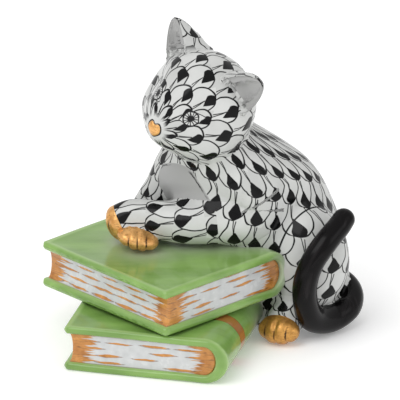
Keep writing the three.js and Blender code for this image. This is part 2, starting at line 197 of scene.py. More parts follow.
# %% Smooth lines through stations
def through(rows, t):
    """Catmull-Rom: each span is the cubic whose end slopes are half the chord of its
    neighbours, with the line carried straight on past both ends."""
    rows = np.asarray(rows, float)
    p = np.vstack([2 * rows[0] - rows[1], rows, 2 * rows[-1] - rows[-2]])
    s = np.clip(np.asarray(t, float), 0, 1) * (len(rows) - 1)
    k = np.minimum(s.astype(int), len(rows) - 2)
    f = (s - k)[..., None]
    a, b, c, d = p[k], p[k + 1], p[k + 2], p[k + 3]
    return 0.5 * (2 * b + (c - a) * f + (2 * a - 5 * b + 4 * c - d) * f ** 2
                  + (3 * b - a - 3 * c + d) * f ** 3)


def unit(v):
    return v / (np.linalg.norm(v, axis=-1, keepdims=True) + 1e-12)


CAP_ROWS = 10
NEARLY = 0.985                      # a cap stops just short of its pole


class Limb:
    """A line of stations x, y, z, half width, half height, and a side and a rise direction
    at every point of it: side is across the line and `ref`, rise is across both."""

    def __init__(self, stations, ref, cap_start, cap_end):
        self.stations = np.asarray(stations, float)
        self.ref = unit(np.asarray(ref, float))
        self.caps = (cap_start, cap_end)
        t = np.linspace(0, 1, 241)
        self.sample = self.at(t)
        step = np.linalg.norm(np.diff(self.sample[0], axis=0), axis=1)
        self.arc = np.concatenate([[0], np.cumsum(step)])
        self.t = t

    def at(self, t):
        row = through(self.stations, t)
        e = 1e-3
        lo, hi = np.clip(t - e, 0, 1), np.clip(t + e, 0, 1)
        tangent = unit(through(self.stations[:, :3], hi) - through(self.stations[:, :3], lo))
        side = unit(np.cross(tangent, self.ref))
        rise = np.cross(side, tangent)
        return row[..., :3], tangent, side, rise, row[..., 3], row[..., 4]

    def rings(self, span, grid, caps):
        """Ring points, arc length of each ring in mm and the ring angles, for a share of the
        line. A cap is the quarter ellipse that closes an end, by its length in mm or 0."""
        (t0, t1), (rows, around), (cap0, cap1) = span, grid, caps
        q = np.linspace(np.pi / 2, 0, CAP_ROWS + 1)[:-1] * NEARLY
        t = np.concatenate([np.full(len(q) if cap0 else 0, t0), np.linspace(t0, t1, rows),
                            np.full(len(q) if cap1 else 0, t1)])
        push = np.concatenate([-cap0 * np.sin(q) if cap0 else [], np.zeros(rows),
                               cap1 * np.sin(q[::-1]) if cap1 else []])
        shrink = np.concatenate([np.cos(q) if cap0 else [], np.ones(rows),
                                 np.cos(q[::-1]) if cap1 else []])
        c, tan, side, rise, wide, high = self.at(t)
        c = c + tan * push[:, None]
        angle = np.linspace(0, 2 * np.pi, around, endpoint=False)
        w = (wide * shrink)[:, None, None] * np.cos(angle)[None, :, None]
        h = (high * shrink)[:, None, None] * np.sin(angle)[None, :, None]
        points = c[:, None] + side[:, None] * w + rise[:, None] * h
        return points, np.interp(t, self.t, self.arc) + push, angle

    def field(self, p):
        """Signed distance, near enough: the oval's own level at the nearest point of the
        line, with the round caps past the ends."""
        c, tan, side, rise, wide, high = self.sample
        flat = p.reshape(-1, 3)
        near = np.empty(len(flat), int)
        for i in range(0, len(flat), 4000):
            gap = ((flat[i:i + 4000, None] - c[None, ::3]) ** 2).sum(-1)
            near[i:i + 4000] = 3 * gap.argmin(1)
        d = flat - c[near]
        run = (d * tan[near]).sum(-1)
        x = (d * side[near]).sum(-1) / wide[near]
        y = (d * rise[near]).sum(-1) / high[near]
        over = np.where(near == 0, np.minimum(run, 0) / self.caps[0], 0)
        last = len(c) - 1
        over = np.where(near == last, np.maximum(run, 0) / self.caps[1], over)
        level = np.sqrt(x ** 2 + y ** 2 + over ** 2) - 1
        return (level * np.minimum(wide, high)[near]).reshape(p.shape[:-1])


# %% [markdown]
# Slip rounds every joint between two castings. The same effect comes from a smooth minimum of
# distances: each casting has a function that is negative inside it, and the joined skin is
# where their blend is zero. A casting's points slide out to that skin, and dip just under it
# where the neighbour is the nearer one, so only one of the two shows.

# %% The slip that fills the joints
def smooth_min(a, b, width):
    """The lower of two distances, rounded over a band of the given width."""
    h = np.clip(0.5 + 0.5 * (b - a) / width, 0, 1)
    return b * (1 - h) + a * h - width * h * (1 - h)


FILLET, REACH, SINK = 2.2, 2.2, 0.35    # mm: width of slip, how far a point moves, how deep
STEP = 0.8                              # share of the distance that one step covers


def lute(points, own, neighbours):
    """Slides points along their normals to the zero of the blended distance, then sinks the
    ones that a neighbour covers. A neighbour is its distance and a share of the fillet."""
    n = ring_normals(points)
    shift = np.zeros(points.shape[:2])
    for _ in range(7):
        q = points + n * shift[..., None]
        blend = own(q)
        for other, share in neighbours:
            blend = smooth_min(blend, other(q), share * FILLET)
        shift = np.clip(shift - STEP * blend, 0, REACH)
    q = points + n * shift[..., None]
    rival = np.min([other(q) for other, _ in neighbours], axis=0)
    covered = np.clip((own(q) - rival) / 0.5, 0, 1)
    return q - n * (SINK * covered ** 2 * (3 - 2 * covered))[..., None]


# %% [markdown]
# The head is one lump of clay pressed from inside a mould: nearly round, with a short muzzle,
# full cheeks and temples drawn in beside the nose. Its own directions are forward, left and
# up, turned to the kitten's left and leaned onto the left cheek.

# %% The head's own directions and its reach
HEAD_CENTRE = np.array([-0.4, 6.0, 51.0])
HEAD_TURN, HEAD_TILT = math.radians(45.8), math.radians(-16.2)
FRONT, BACK, WIDE, TALL = 11.5, 12.6, 12.3, 11.6


def head_axes(a, b):
    """Rows forward, left and up: the face turns by a from -X toward -Y, then leans by b about
    forward."""
    forward = np.array([-math.cos(a), -math.sin(a), 0.0])
    left = np.array([math.sin(a), -math.cos(a), 0.0])
    up = np.array([0.0, 0.0, 1.0])
    return np.array([forward, left * math.cos(b) + up * math.sin(b),
                     up * math.cos(b) - left * math.sin(b)])


HEAD = head_axes(HEAD_TURN, HEAD_TILT)


def near_to(d, axis, spread):
    """A bump in direction space: exp of minus the squared angle over the spread."""
    angle = np.arccos(np.clip(d @ unit(np.asarray(axis, float)), -1, 1))
    return np.exp(-(angle / spread) ** 2)


def head_reach(d):
    """Distance from the middle of the head to its skin in the direction d: an ellipsoid that
    is longer behind, plus muzzle, cheeks and brow, less the temples and the eye hollows."""
    front = np.where(d[..., 0] > 0, FRONT, BACK)
    skin = 1 / np.sqrt((d[..., 0] / front) ** 2 + (d[..., 1] / WIDE) ** 2
                       + (d[..., 2] / TALL) ** 2)
    skin += 1.9 * near_to(d, (1, 0, -0.28), 0.42)
    for s in (1, -1):
        skin += 0.9 * near_to(d, (0.35, 0.8 * s, -0.5), 0.45)
        skin -= 2.4 * near_to(d, (0.56, 0.78 * s, 0.3), 0.46)
    return skin


def head_field(p):
    """Distance from the head's skin, measured along the ray from its middle."""
    q = (p - HEAD_CENTRE) @ HEAD.T
    r = np.linalg.norm(q, axis=-1)
    return r - head_reach(q / (r[..., None] + 1e-9))


# %% [markdown]
# The body is a leaning egg. Level ovals stacked on one another give it a flat foot to stand
# on, which a tilted section would not.

# %% The body's stack of level ovals
BODY = np.array([
    # height, x, y, half length, half width
    [0.0, 18.6, 12.4, 9.6, 9.0], [1.2, 18.7, 12.4, 11.0, 10.2], [5.0, 18.7, 12.3, 12.4, 11.4],
    [12.0, 17.8, 12.0, 13.6, 12.0], [20.0, 15.0, 12.0, 15.2, 12.2],
    [26.0, 11.3, 12.0, 17.0, 12.2], [32.0, 8.4, 11.6, 17.2, 12.0],
    [36.0, 7.1, 11.2, 15.3, 11.6], [40.0, 5.4, 10.8, 11.6, 10.6],
    [44.0, 3.4, 10.2, 7.8, 8.0], [46.5, 2.4, 9.8, 4.4, 4.8],
])
BODY_LINE = through(BODY, np.linspace(0, 1, 400))


def body_field(p):
    """The oval's level at the point's own height; above the top, the rise counts too."""
    z = p[..., 2]
    at = [np.interp(z, BODY_LINE[:, 0], BODY_LINE[:, k]) for k in (1, 2, 3, 4)]
    level = np.sqrt(((p[..., 0] - at[0]) / at[2]) ** 2 + ((p[..., 1] - at[1]) / at[3]) ** 2) - 1
    side = level * np.minimum(at[2], at[3]) * 0.9
    over = np.maximum(z - BODY[-1, 0], 0)
    return np.where(over > 0, np.sqrt(np.maximum(side, 0) ** 2 + over ** 2), side)


# %% [markdown]
# Legs and tail are rolled coils pressed onto the body. The forelegs cross on the upper book,
# left over right; the tail comes round from behind the rump, lies on the table and climbs
# over the near thigh.

# %% Stations of the legs and the tail
FORE = BOOK_TOP + 0.3
FORELEG_LEFT = Limb([
    [6.5, 5.5, 38.5, 4.2, 4.2], [9.8, 4.0, 34.0, 5.8, 5.8], [12.2, 4.2, 29.0, 6.2, 6.2],
    [9.5, 3.0, FORE + 5.6, 5.8, 5.5], [3.5, 1.6, FORE + 5.1, 5.1, 5.0],
    [-3.0, 1.2, FORE + 4.7, 4.6, 4.5], [-9.0, 2.0, FORE + 5.0, 4.2, 3.6],
    [-14.0, 2.8, FORE + 5.2, 4.1, 3.2], [-17.3, 2.9, FORE + 3.9, 4.0, 3.5],
], (0, 1, 0), 3.6, 2.6)
FORELEG_RIGHT = Limb([
    [-2.4, 13.5, 39.0, 3.4, 3.4], [-4.9, 13.0, 35.0, 3.9, 3.9], [-7.4, 12.6, 30.0, 4.0, 3.9],
    [-10.4, 11.3, FORE + 4.2, 4.0, 3.9], [-12.2, 7.0, FORE + 3.0, 2.9, 3.9],
    [-13.0, 2.0, FORE + 2.4, 2.4, 4.1], [-13.2, -1.6, FORE + 2.1, 2.2, 4.5],
], (-0.9, 0.35, 0.25), 3.0, 3.2)
HIND_LEFT = Limb([
    [21.5, 4.5, 10.0, 5.0, 4.8], [19.6, 1.0, 6.2, 4.4, 4.0], [17.6, -2.4, 3.8, 4.2, 3.3],
    [16.8, -4.4, 3.1, 4.6, 3.0],
], (0, 0, 1), 3.0, 3.0)
HIND_RIGHT = Limb([
    [20.5, 21.0, 8.5, 5.6, 4.8], [17.0, 22.6, 5.4, 4.6, 4.2], [13.6, 23.4, 3.6, 4.2, 3.3],
    [11.4, 23.4, 3.1, 4.3, 3.0],
], (0, 0, 1), 3.0, 3.0)
TAIL = Limb([
    [26.5, 14.5, 8.6, 2.6, 2.6], [31.0, 12.0, 7.2, 2.3, 2.3], [32.6, 8.3, 5.9, 2.2, 2.2],
    [31.4, 4.8, 4.3, 2.7, 2.7], [27.6, 1.8, 3.3, 3.1, 3.1], [23.9, -2.4, 5.2, 3.0, 3.0],
    [22.5, -5.6, 9.9, 2.7, 2.7], [22.4, -7.4, 15.2, 2.65, 2.65], [23.9, -7.6, 20.1, 2.6, 2.6],
    [26.6, -6.2, 23.9, 2.6, 2.6], [29.4, -3.2, 26.4, 2.5, 2.5], [30.6, -1.6, 27.6, 2.4, 2.4],
], (0.55, 0.8, 0.2), 2.0, 2.3)
THIGH_LEFT = (np.array([22.8, 4.2, 16.0]), np.array([9.0, 7.2, 12.0]))
THIGH_RIGHT = (np.array([20.5, 19.5, 14.5]), np.array([9.2, 6.6, 11.0]))
print("left foreleg, mm long:", round(FORELEG_LEFT.arc[-1], 1),
      " tail:", round(TAIL.arc[-1], 1))


def thigh_field(thigh):
    """Distance from an ellipsoid, measured along the ray from its middle."""
    centre, radii = thigh

    def field(p):
        q = p - centre
        level = np.linalg.norm(q / radii, axis=-1)
        return np.linalg.norm(q, axis=-1) * (1 - 1 / (level + 1e-9))
    return field


def leg_field(thigh, shank):
    """A thigh and its shank as one distance."""
    a = thigh_field(thigh)
    return lambda p: smooth_min(a(p), shank.field(p), 2.0)


# %% [markdown]
# The whole body is wound with one scale pattern that runs on from casting to casting. Its
# columns are angles round a line that stands in the chest and bends forward into the neck.
# It loses six rows in a turn, so the pattern is a spiral, as a painter who works round a body
# without stopping would lay it.

# %% The body's scale pattern
COLUMNS, LOST = 22, 6               # columns in a turn, and rows lost in a turn
COLUMN_LEAN, ROWS_PER_MM = 0.085, 0.153
BODY_START = (7.10, 6.49)           # column and row at angle 0 on the table
NECK = [34, 46.5]                   # heights between which the middle line bends forward


def body_lattice(p):
    """Columns and rows, and the share of a turn: columns from the angle round the bent line,
    rows from the height. On the slope of the back a row is measured along the slope."""
    x0 = np.interp(p[..., 2], NECK, [10.5, 2.4])
    y0 = np.interp(p[..., 2], NECK, [12.0, 9.8])
    angle = np.arctan2((p[..., 1] - y0) / 12.1, (p[..., 0] - x0) / 15.5)
    down = p[..., 2] + 0.35 * np.maximum(p[..., 2] - 32, 0) * np.maximum(np.cos(angle), 0)
    turn = angle / (2 * np.pi)
    return np.stack([COLUMNS * turn - COLUMN_LEAN * p[..., 2] + BODY_START[0],
                     -LOST * turn - ROWS_PER_MM * down + BODY_START[1]], -1), turn


def wound(lattice, turn, full_turn, closed_turn=True):
    """A lattice on a grid of rings, carried on where the angle jumps back by a turn, with the
    extra last column. full_turn is the columns and rows that one turn adds."""
    whole = np.unwrap(turn, axis=1, period=1) - turn
    full = lattice + whole[..., None] * full_turn
    return np.concatenate([full, full[:, :1] + np.multiply(full_turn, closed_turn)], 1)


def body_pattern(points, closed_turn=False):
    """The spiral on a grid of rings. It closes by a full turn only where the rings go round
    the whole body."""
    lattice, turn = body_lattice(points)
    return wound(lattice, turn, [COLUMNS, -LOST], closed_turn)


# %% [markdown]
# ** The body.** One hollow casting, egg-shaped. Its scales leave out a plain bib on the chest,
# which is kept as a number at every point, positive inside, so the paint can follow it.

# %% Body
BIB_SLOPE, BIB_ROUND = 0.424, 3.0   # lean of the planes, and mm that round their corners


def bib_level(points):
    """How far inside the bib a point is, in mm: three leaning planes, to its right, to its left
    and above it, with rounded corners. Only the front of the chest counts."""
    x, y, z = np.moveaxis(points, -1, 0)
    slant = z + BIB_SLOPE * y
    right = (x + 3) * 0.865 + (slant - 40.4) * 0.502
    left = -9.6 - x + 0.12 * (38 - slant)
    top = slant - 40.0
    inside = smooth_min(smooth_min(-right, -left, BIB_ROUND), -top, BIB_ROUND)
    return np.where((y < 9) & (x < 4), inside, -9)


def make_torso():
    """Level ovals from the top down, luted to everything that joins the body."""
    rows, around = 96, 128
    t = np.linspace(1, 0, rows)
    ring = through(BODY, t)
    angle = np.linspace(0, 2 * np.pi, around, endpoint=False) - np.pi / 2 + 1.2
    x = ring[:, 1, None] + ring[:, 3, None] * np.cos(angle)
    y = ring[:, 2, None] + ring[:, 4, None] * np.sin(angle)
    z = np.broadcast_to(ring[:, 0, None], x.shape)
    points = np.stack([x, y, z], -1)
    neighbours = [
        (head_field, 1.2), (FORELEG_LEFT.field, 1.3), (FORELEG_RIGHT.field, 0.9),
        (leg_field(THIGH_LEFT, HIND_LEFT), 0.7), (leg_field(THIGH_RIGHT, HIND_RIGHT), 0.9),
        (TAIL.field, 0.5),
    ]
    points = lute(points, body_field, neighbours)
    points[..., 2] = np.maximum(points[..., 2], 0)
    pattern = body_pattern(points, closed_turn=True)
    return closed_grid("torso_glazed", points, pattern, extras={"plain": bib_level(points)})


torso = make_torso()

# %% [markdown]
# The head's pattern starts at the nose and grows backwards, so the grid does too: its rings
# are circles of equal angle from the nose.

# %% Head
NOSE_AXIS = unit(np.array([1.0, 0.0, -0.15]))
NOSE_SIDE = np.array([0.0, 1.0, 0.0])
NOSE_UP = np.cross(NOSE_AXIS, NOSE_SIDE)
NOSE_WIDE, NOSE_TALL = 1.7, 1.8     # half width and half height of the nose
NOSE_OUT = 13.2                     # from the middle of the head to the nose
HEAD_COLUMNS, HEAD_LOST = 12, 6     # columns in a turn, and rows lost in a turn
HEAD_LEAN = 0.42                    # columns gained in a row
HEAD_START = (-4.31, -0.11)         # column and row at the nose, on its left side
AWAY = np.radians(np.linspace(0, 180, 361))
SPACING = np.radians(22 + 10 * (1 - np.exp(-np.degrees(AWAY) / 45)))
SPACING = SPACING * np.where(AWAY > 2.2, np.clip(np.sin(AWAY) / math.sin(2.2), 0.2, 1), 1)
RUN = np.concatenate([[0], np.cumsum(np.diff(AWAY) / SPACING[1:])])
UNLINED = 9                         # kept on top of an outline's distance: see below
# A piece without an outline reads 0 for it, and the paint takes UNLINED off again. So that piece
# is 9 mm from any line, and none is drawn.


def head_pattern(q):
    """A spiral round the nose, with rows wider further out, on a grid of rings."""
    d = unit(q)
    away = np.arccos(np.clip(d @ NOSE_AXIS, -1, 1))
    turn = np.arctan2(d @ NOSE_UP, d @ NOSE_SIDE) / (2 * np.pi)
    run = np.interp(away, AWAY, RUN)
    lattice = np.stack([HEAD_COLUMNS * turn + HEAD_LEAN * run, -HEAD_LOST * turn + run], -1)
    return wound(lattice + HEAD_START, turn, [HEAD_COLUMNS, -HEAD_LOST])


def heart(angle):
    """A heart from an oval: how much narrower it is below and how far it dips above."""
    dip = 1 - 0.4 * np.exp(-((angle - np.pi / 2) / 0.45) ** 2)
    below = np.minimum(np.sin(angle), 0)
    return 1 - 0.45 * below ** 2, dip


def nose_outline(d):
    """Distance outside the line round the nose, in mm, for directions from the head's middle."""
    x, z = NOSE_OUT * (d @ NOSE_SIDE) / NOSE_WIDE, NOSE_OUT * (d @ NOSE_UP) / NOSE_TALL
    narrow, dip = heart(np.arctan2(z, x))
    ring = (np.hypot(x / narrow, z / dip) - 1) * NOSE_WIDE - 0.15
    return np.where(d @ NOSE_AXIS > 0.9, ring, UNLINED)


def make_head():
    """Rings of equal angle from the nose, each point at the head's reach in its direction.
    The poles, where the scales would crowd, are left bald."""
    rows, around = 90, 120
    away = np.linspace(0.02, math.pi - 0.02, rows)
    turn = np.linspace(0, 2 * np.pi, around, endpoint=False) - 2.2
    d = (np.cos(away)[:, None, None] * NOSE_AXIS
         + np.sin(away)[:, None, None] * (np.cos(turn)[None, :, None] * NOSE_SIDE
                                          + np.sin(turn)[None, :, None] * NOSE_UP))
    points = HEAD_CENTRE + (d * head_reach(d)[..., None]) @ HEAD
    points = lute(points, head_field, [(body_field, 1.2), (FORELEG_LEFT.field, 0.8),
                                       (FORELEG_RIGHT.field, 0.8)])
    local = (points - HEAD_CENTRE) @ HEAD.T
    nose_bald, back_bald, fade = 0.2, 0.07, 0.07
    haired = np.clip(np.minimum(away - nose_bald, math.pi - back_bald - away) / fade, 0, 1)
    bald = np.broadcast_to(1 - haired[:, None], (rows, around))
    eyes = []
    for at, lid in EYES:
        middle = unit(at) * head_reach(unit(at)[None])[0]
        across = unit(lid - (lid @ unit(at)) * unit(at))
        upward = np.cross(unit(at), across)
        upward = upward * np.sign(upward[2])
        offset = local - middle
        eyes.append(np.stack([offset @ across, offset @ upward,
                              np.clip(6.0 - np.linalg.norm(offset, axis=-1), 0, 1)], -1))
    eye = np.where(local[..., 1:2] > 0, eyes[0], eyes[1])
    return closed_grid("head_glazed", points, head_pattern(local), extras={
        "eye_x": eye[..., 0], "eye_y": eye[..., 1], "eye_near": eye[..., 2],
        "bald": bald, "outline": nose_outline(unit(local)) + UNLINED})


EYES = (    # middle of an eye and the direction of its outer corner: forward, left, up
    (np.array([8.6, 5.65, 2.6]), np.array([-0.697, 0.690, 0.192])),
    (np.array([9.68, -3.74, 3.94]), np.array([-0.697, -0.690, 0.192])),
)
head = make_head()

# %% [markdown]
# An ear is a half cone with a hollow pressed into its front. The same ring makes both: its far
# half is the back of the ear, its near half the hollow.

# %% Ears
def ring_field(p, rings):
    """Distance out of a tapering stack of rings: how far past the nearest ring point, seen
    from that ring's middle."""
    middles = rings.mean(1)
    flat = p.reshape(-1, 3)
    row = ((flat[:, None] - middles[None]) ** 2).sum(-1).argmin(1)
    spoke = rings[row] - middles[row][:, None]
    aim = flat - middles[row]
    cosine = (spoke * aim[:, None]).sum(-1) / (np.linalg.norm(spoke, axis=-1) + 1e-9)
    best = cosine.argmax(1)
    reach = np.linalg.norm(spoke[np.arange(len(flat)), best], axis=-1)
    return (np.linalg.norm(aim, axis=-1) - reach).reshape(p.shape[:-1])


def make_ear(name, side):
    """Rings from a root inside the head to the tip, in the head's own directions: an oval that
    is deep behind and shallow in front, narrowing to a rounded point."""
    base = np.array([0.03, 0.73 * side, 0.664]) * [FRONT, WIDE, TALL]
    tip = np.array([-0.174, 1.09 * side, 1.15]) * [FRONT, WIDE, TALL]
    axis = unit(tip - base)
    height = np.linalg.norm(tip - base)
    root = base - 0.3 * height * axis
    opening = np.array([0.957, 0.265 * side, -0.094])
    opening = unit(opening - opening @ axis * axis)
    across = np.cross(opening, axis)
    rows, around = 48, 72
    s = np.sin(np.linspace(0, np.pi / 2, rows)) * 0.9995
    angle = np.linspace(0, 2 * np.pi, around, endpoint=False)
    taper = np.sqrt(1 - s ** 2.8) * (1 - 0.18 * s)
    wide = 4.7 * taper
    back = 8.64 * (1 - s) ** 0.75 + 0.9 * taper
    bowl = 2.1 * (1 - s) ** 0.6 * taper
    sine, cosine = np.sin(angle)[None], np.cos(angle)[None]
    deep = np.where(sine >= 0, -back[:, None] * sine, bowl[:, None] * sine)
    points = (root + 1.3 * height * s[:, None, None] * axis
              + wide[:, None, None] * cosine[..., None] * across
              + deep[..., None] * opening)
    points = HEAD_CENTRE + points @ HEAD
    turns = np.concatenate([angle, [2 * np.pi]]) / (2 * np.pi)
    hollow = np.minimum(-sine * wide[:, None], (s[:, None] - 0.33) * 30)
    bald = np.clip((0.36 - s[:, None]) * 8, 0, 1) * (sine < 0.5)
    points = lute(points, lambda p: ring_field(p, points), [(head_field, 0.9)])
    pattern = np.stack(np.broadcast_arrays(turns[None] * 6 + 0.2, 3.3 - s[:, None] * 2.6), -1)
    return closed_grid(name, points, pattern, extras={"plain": hollow, "bald": bald})


ear_left = make_ear("ear_left_glazed", 1)
ear_right = make_ear("ear_right_glazed", -1)

# %% [markdown]
# **Forelegs and paws.** Rolled coils, pressed flat where they lie on the book. A paw is the end
# of the same coil, cut off where the gilding starts, with grooves pressed in between its toes.

# %% Forelegs and paws
def limb_piece(name, limb, span, grid, caps, scales, neighbours=(), floor=0.0, toes=0.0,
               body_until=None):
    """A stretch of a limb, luted to its neighbours, flattened on what it lies on. scales are
    how many go round and the mm from row to row, toes the mm between the grooves of a paw, and
    body_until the mm along a limb up to which the body's own scales run on."""
    points, run, angle = limb.rings(span, grid, caps)
    extras = {}
    if toes:
        centre, tangent = limb.at(np.array([span[1]]))[:2]
        level = unit(np.cross(tangent[0], [0.0, 0.0, 1.0]))
        across = (points - centre[0]) @ level
        rise = points[..., 2] - centre[0, 2]
        front = np.clip((run - run[-1] + caps[1] + 0.4) / 1.2, 0, 1)[:, None]
        nearest = (across + toes * 0.5) % toes - toes * 0.5
        inside = np.clip((toes * 1.5 - np.abs(across)) * 2, 0, 1)
        dent = 0.42 * np.exp(-(nearest / 0.5) ** 2) * front * inside
        hub = points.mean(1, keepdims=True)
        spoke = points - hub
        dent = dent * np.clip(np.linalg.norm(spoke, axis=-1) / 2 - 0.2, 0, 1)
        points = points - unit(spoke) * dent[..., None]
        extras = {"toe_across": across + 20 * toes + toes / 2,
                  "toe_front": front * inside * np.clip(1.7 - np.abs(rise - 0.1), 0, 1)}
    if neighbours:
        points = lute(points, limb.field, neighbours)
    points[..., 2] = np.maximum(points[..., 2], floor)
    turns = np.concatenate([angle, [2 * np.pi]]) / (2 * np.pi)
    pattern = np.stack(np.broadcast_arrays(scales[0] * turns, run[:, None] / scales[1]), -1)
    if body_until is None:
        return closed_grid(name, points, pattern, extras=extras)
    change = min(int(np.searchsorted(run, body_until)), len(run) - 1)
    return closed_grid(name, points, body_pattern(points), later=(change, pattern))


foreleg_left = limb_piece(
    "foreleg_left_glazed", FORELEG_LEFT, (0, 0.97), (110, 72), (3.6, 0), (6, 6.2),
    [(body_field, 1.3), (head_field, 0.8), (leg_field(THIGH_LEFT, HIND_LEFT), 0.5),
     (FORELEG_RIGHT.field, 0.3)], floor=BOOK_TOP, body_until=22.0)
forepaw_left = limb_piece(
    "forepaw_left_gilt", FORELEG_LEFT, (0.972, 1), (12, 72), (0, 2.6), (8, 5.2),
    floor=BOOK_TOP, toes=2.2)
foreleg_right = limb_piece(
    "foreleg_right_glazed", FORELEG_RIGHT, (0, 0.88), (90, 64), (3.0, 0), (7, 5.2),
    [(body_field, 0.9), (head_field, 0.8)], floor=BOOK_TOP)
forepaw_right = limb_piece(
    "forepaw_right_gilt", FORELEG_RIGHT, (0.885, 1), (24, 72), (0, 3.2), (7, 5.2),
    floor=BOOK_TOP, toes=2.2)

# %% [markdown]
# **Hind legs.** A haunch is a flat ball of clay, its edge drawn round with one black line. The
# shank under it is a short coil, which ends in a gilded paw.

# %% Hind legs
def make_thigh(name, thigh, shank, neighbours):
    """An ellipsoid wound with the pattern from its top down."""
    centre, radii = thigh
    rows, around = 70, 88
    polar = np.linspace(0.03, math.pi - 0.03, rows)
    turn = np.linspace(0, 2 * np.pi, around, endpoint=False)
    d = np.stack([np.sin(polar)[:, None] * np.cos(turn), np.sin(polar)[:, None] * np.sin(turn),
                  np.broadcast_to(np.cos(polar)[:, None], (rows, around))], -1)
    points = centre + radii * d
    points = lute(points, thigh_field(thigh), neighbours + [(shank.field, 1.0)])
    points[..., 2] = np.maximum(points[..., 2], 0)
    rival = np.min([other(points) for other, _ in neighbours], axis=0)
    outline = thigh_field(thigh)(points) - rival + 0.35
    return closed_grid(name, points, body_pattern(points), extras={"outline": outline + UNLINED})


thigh_left = make_thigh("thigh_left_glazed", THIGH_LEFT, HIND_LEFT,
                        [(body_field, 0.7), (FORELEG_LEFT.field, 0.5)])
thigh_right = make_thigh("thigh_right_glazed", THIGH_RIGHT, HIND_RIGHT, [(body_field, 0.9)])
# Share of the limb, rows and points around, the two caps, and the scales round and mm a row.
SHANK = ((0, 0.78), (40, 64), (3.0, 0), (6, 5.0))
HIND_PAW = ((0.785, 1), (24, 72), (0, 3.0), (6, 5.0))
shank_left = limb_piece("shank_left_glazed", HIND_LEFT, *SHANK,
                        [(body_field, 0.7), (thigh_field(THIGH_LEFT), 1.0)])
shank_right = limb_piece("shank_right_glazed", HIND_RIGHT, *SHANK,
                         [(body_field, 0.7), (thigh_field(THIGH_RIGHT), 1.0)])
hind_paw_left = limb_piece("hind_paw_left_gilt", HIND_LEFT, *HIND_PAW, toes=2.7)
hind_paw_right = limb_piece("hind_paw_right_gilt", HIND_RIGHT, *HIND_PAW, toes=2.7)

# %% [markdown]
# **Tail.** One long coil, thickest where it lies on the table and round at its tip.

# %% Tail
tail = limb_piece("tail_glazed", TAIL, (0, 1), (220, 48), (2.0, 2.3), (6, 5.0))

# %% [markdown]
# **Nose.** A small lens of clay on the end of the muzzle, gilded.

# %% Nose
def make_nose():
    """A lens on the end of the muzzle, its outline a heart: a dip above, narrow below."""
    rows, around = 20, 60
    polar = np.linspace(0.05, math.pi - 0.05, rows)[:, None]
    angle = np.linspace(0, 2 * np.pi, around, endpoint=False)[None]
    narrow, dip = heart((angle + np.pi) % (2 * np.pi) - np.pi)
    spread = np.sin(polar) ** 0.8
    x = NOSE_WIDE * spread * np.cos(angle) * narrow
    z = NOSE_TALL * spread * np.sin(angle) * dip
    d = unit(NOSE_AXIS + (x[..., None] * NOSE_SIDE + z[..., None] * NOSE_UP) / NOSE_OUT)
    lift = np.cos(polar) * 0.42
    points = HEAD_CENTRE + (d * (head_reach(d) + lift)[..., None]) @ HEAD
    return closed_grid("nose_gilt", points)


nose = make_nose()

# %% [markdown]
# A book's cover is one bent sheet: a board, a round spine, a board. Its middle line is carried
# as a path, and a long thin rounded rectangle, as long as the book, is swept along it.

# %% Books: the bent cover
def to_book(points, corner, turn):
    """From a book's own x (fore-edge to spine) and y (along the spine) to the drawing grid."""
    a = math.radians(turn)
    x, y, z = np.moveaxis(points, -1, 0)
    return np.stack([corner[0] + x * math.cos(a) - y * math.sin(a),
                     corner[1] + x * math.sin(a) + y * math.cos(a), z], -1)


def rounded_slab(half_long, half_thick, radius, long_steps=34, thick_steps=2, corner_steps=5):
    """A rounded rectangle as points (long, thick), anticlockwise from the middle of the
    first corner's start: four quarter circles with straight runs between them."""
    q = np.linspace(0, np.pi / 2, corner_steps)
    along = np.linspace(1, -1, long_steps)[1:-1] * (half_long - radius)
    across = np.linspace(1, -1, thick_steps)[1:-1] * (half_thick - radius)
    out = []
    for k, (sl, st) in enumerate(((1, 1), (-1, 1), (-1, -1), (1, -1))):
        a = q + k * np.pi / 2
        out.append(np.stack([sl * (half_long - radius) + radius * np.cos(a),
                             st * (half_thick - radius) + radius * np.sin(a)], -1))
        if k % 2 == 0:
            run = along * sl
            out.append(np.stack([run, np.full(len(run), st * half_thick)], -1))
        else:
            run = across * st
            out.append(np.stack([np.full(len(run), sl * half_long), run], -1))
    return np.concatenate(out)


def cat_field(p):
    """Distance from whatever of the cat is nearest, used for the painted reflection of the white
    cat in the green glaze.
    """
    parts = [body_field, FORELEG_LEFT.field, FORELEG_RIGHT.field,
             leg_field(THIGH_LEFT, HIND_LEFT), leg_field(THIGH_RIGHT, HIND_RIGHT)]
    return np.min([part(p) for part in parts], axis=0)


EDGE = 0.75                         # radius of a board's edge


def board_end(end, middle, angle):
    """The quarter round from the tip of a board's edge to its face, in x and z."""
    return (middle + (end - middle) * np.cos(angle)[:, None]
            - EDGE * np.sin(angle)[:, None] * [1, 0])


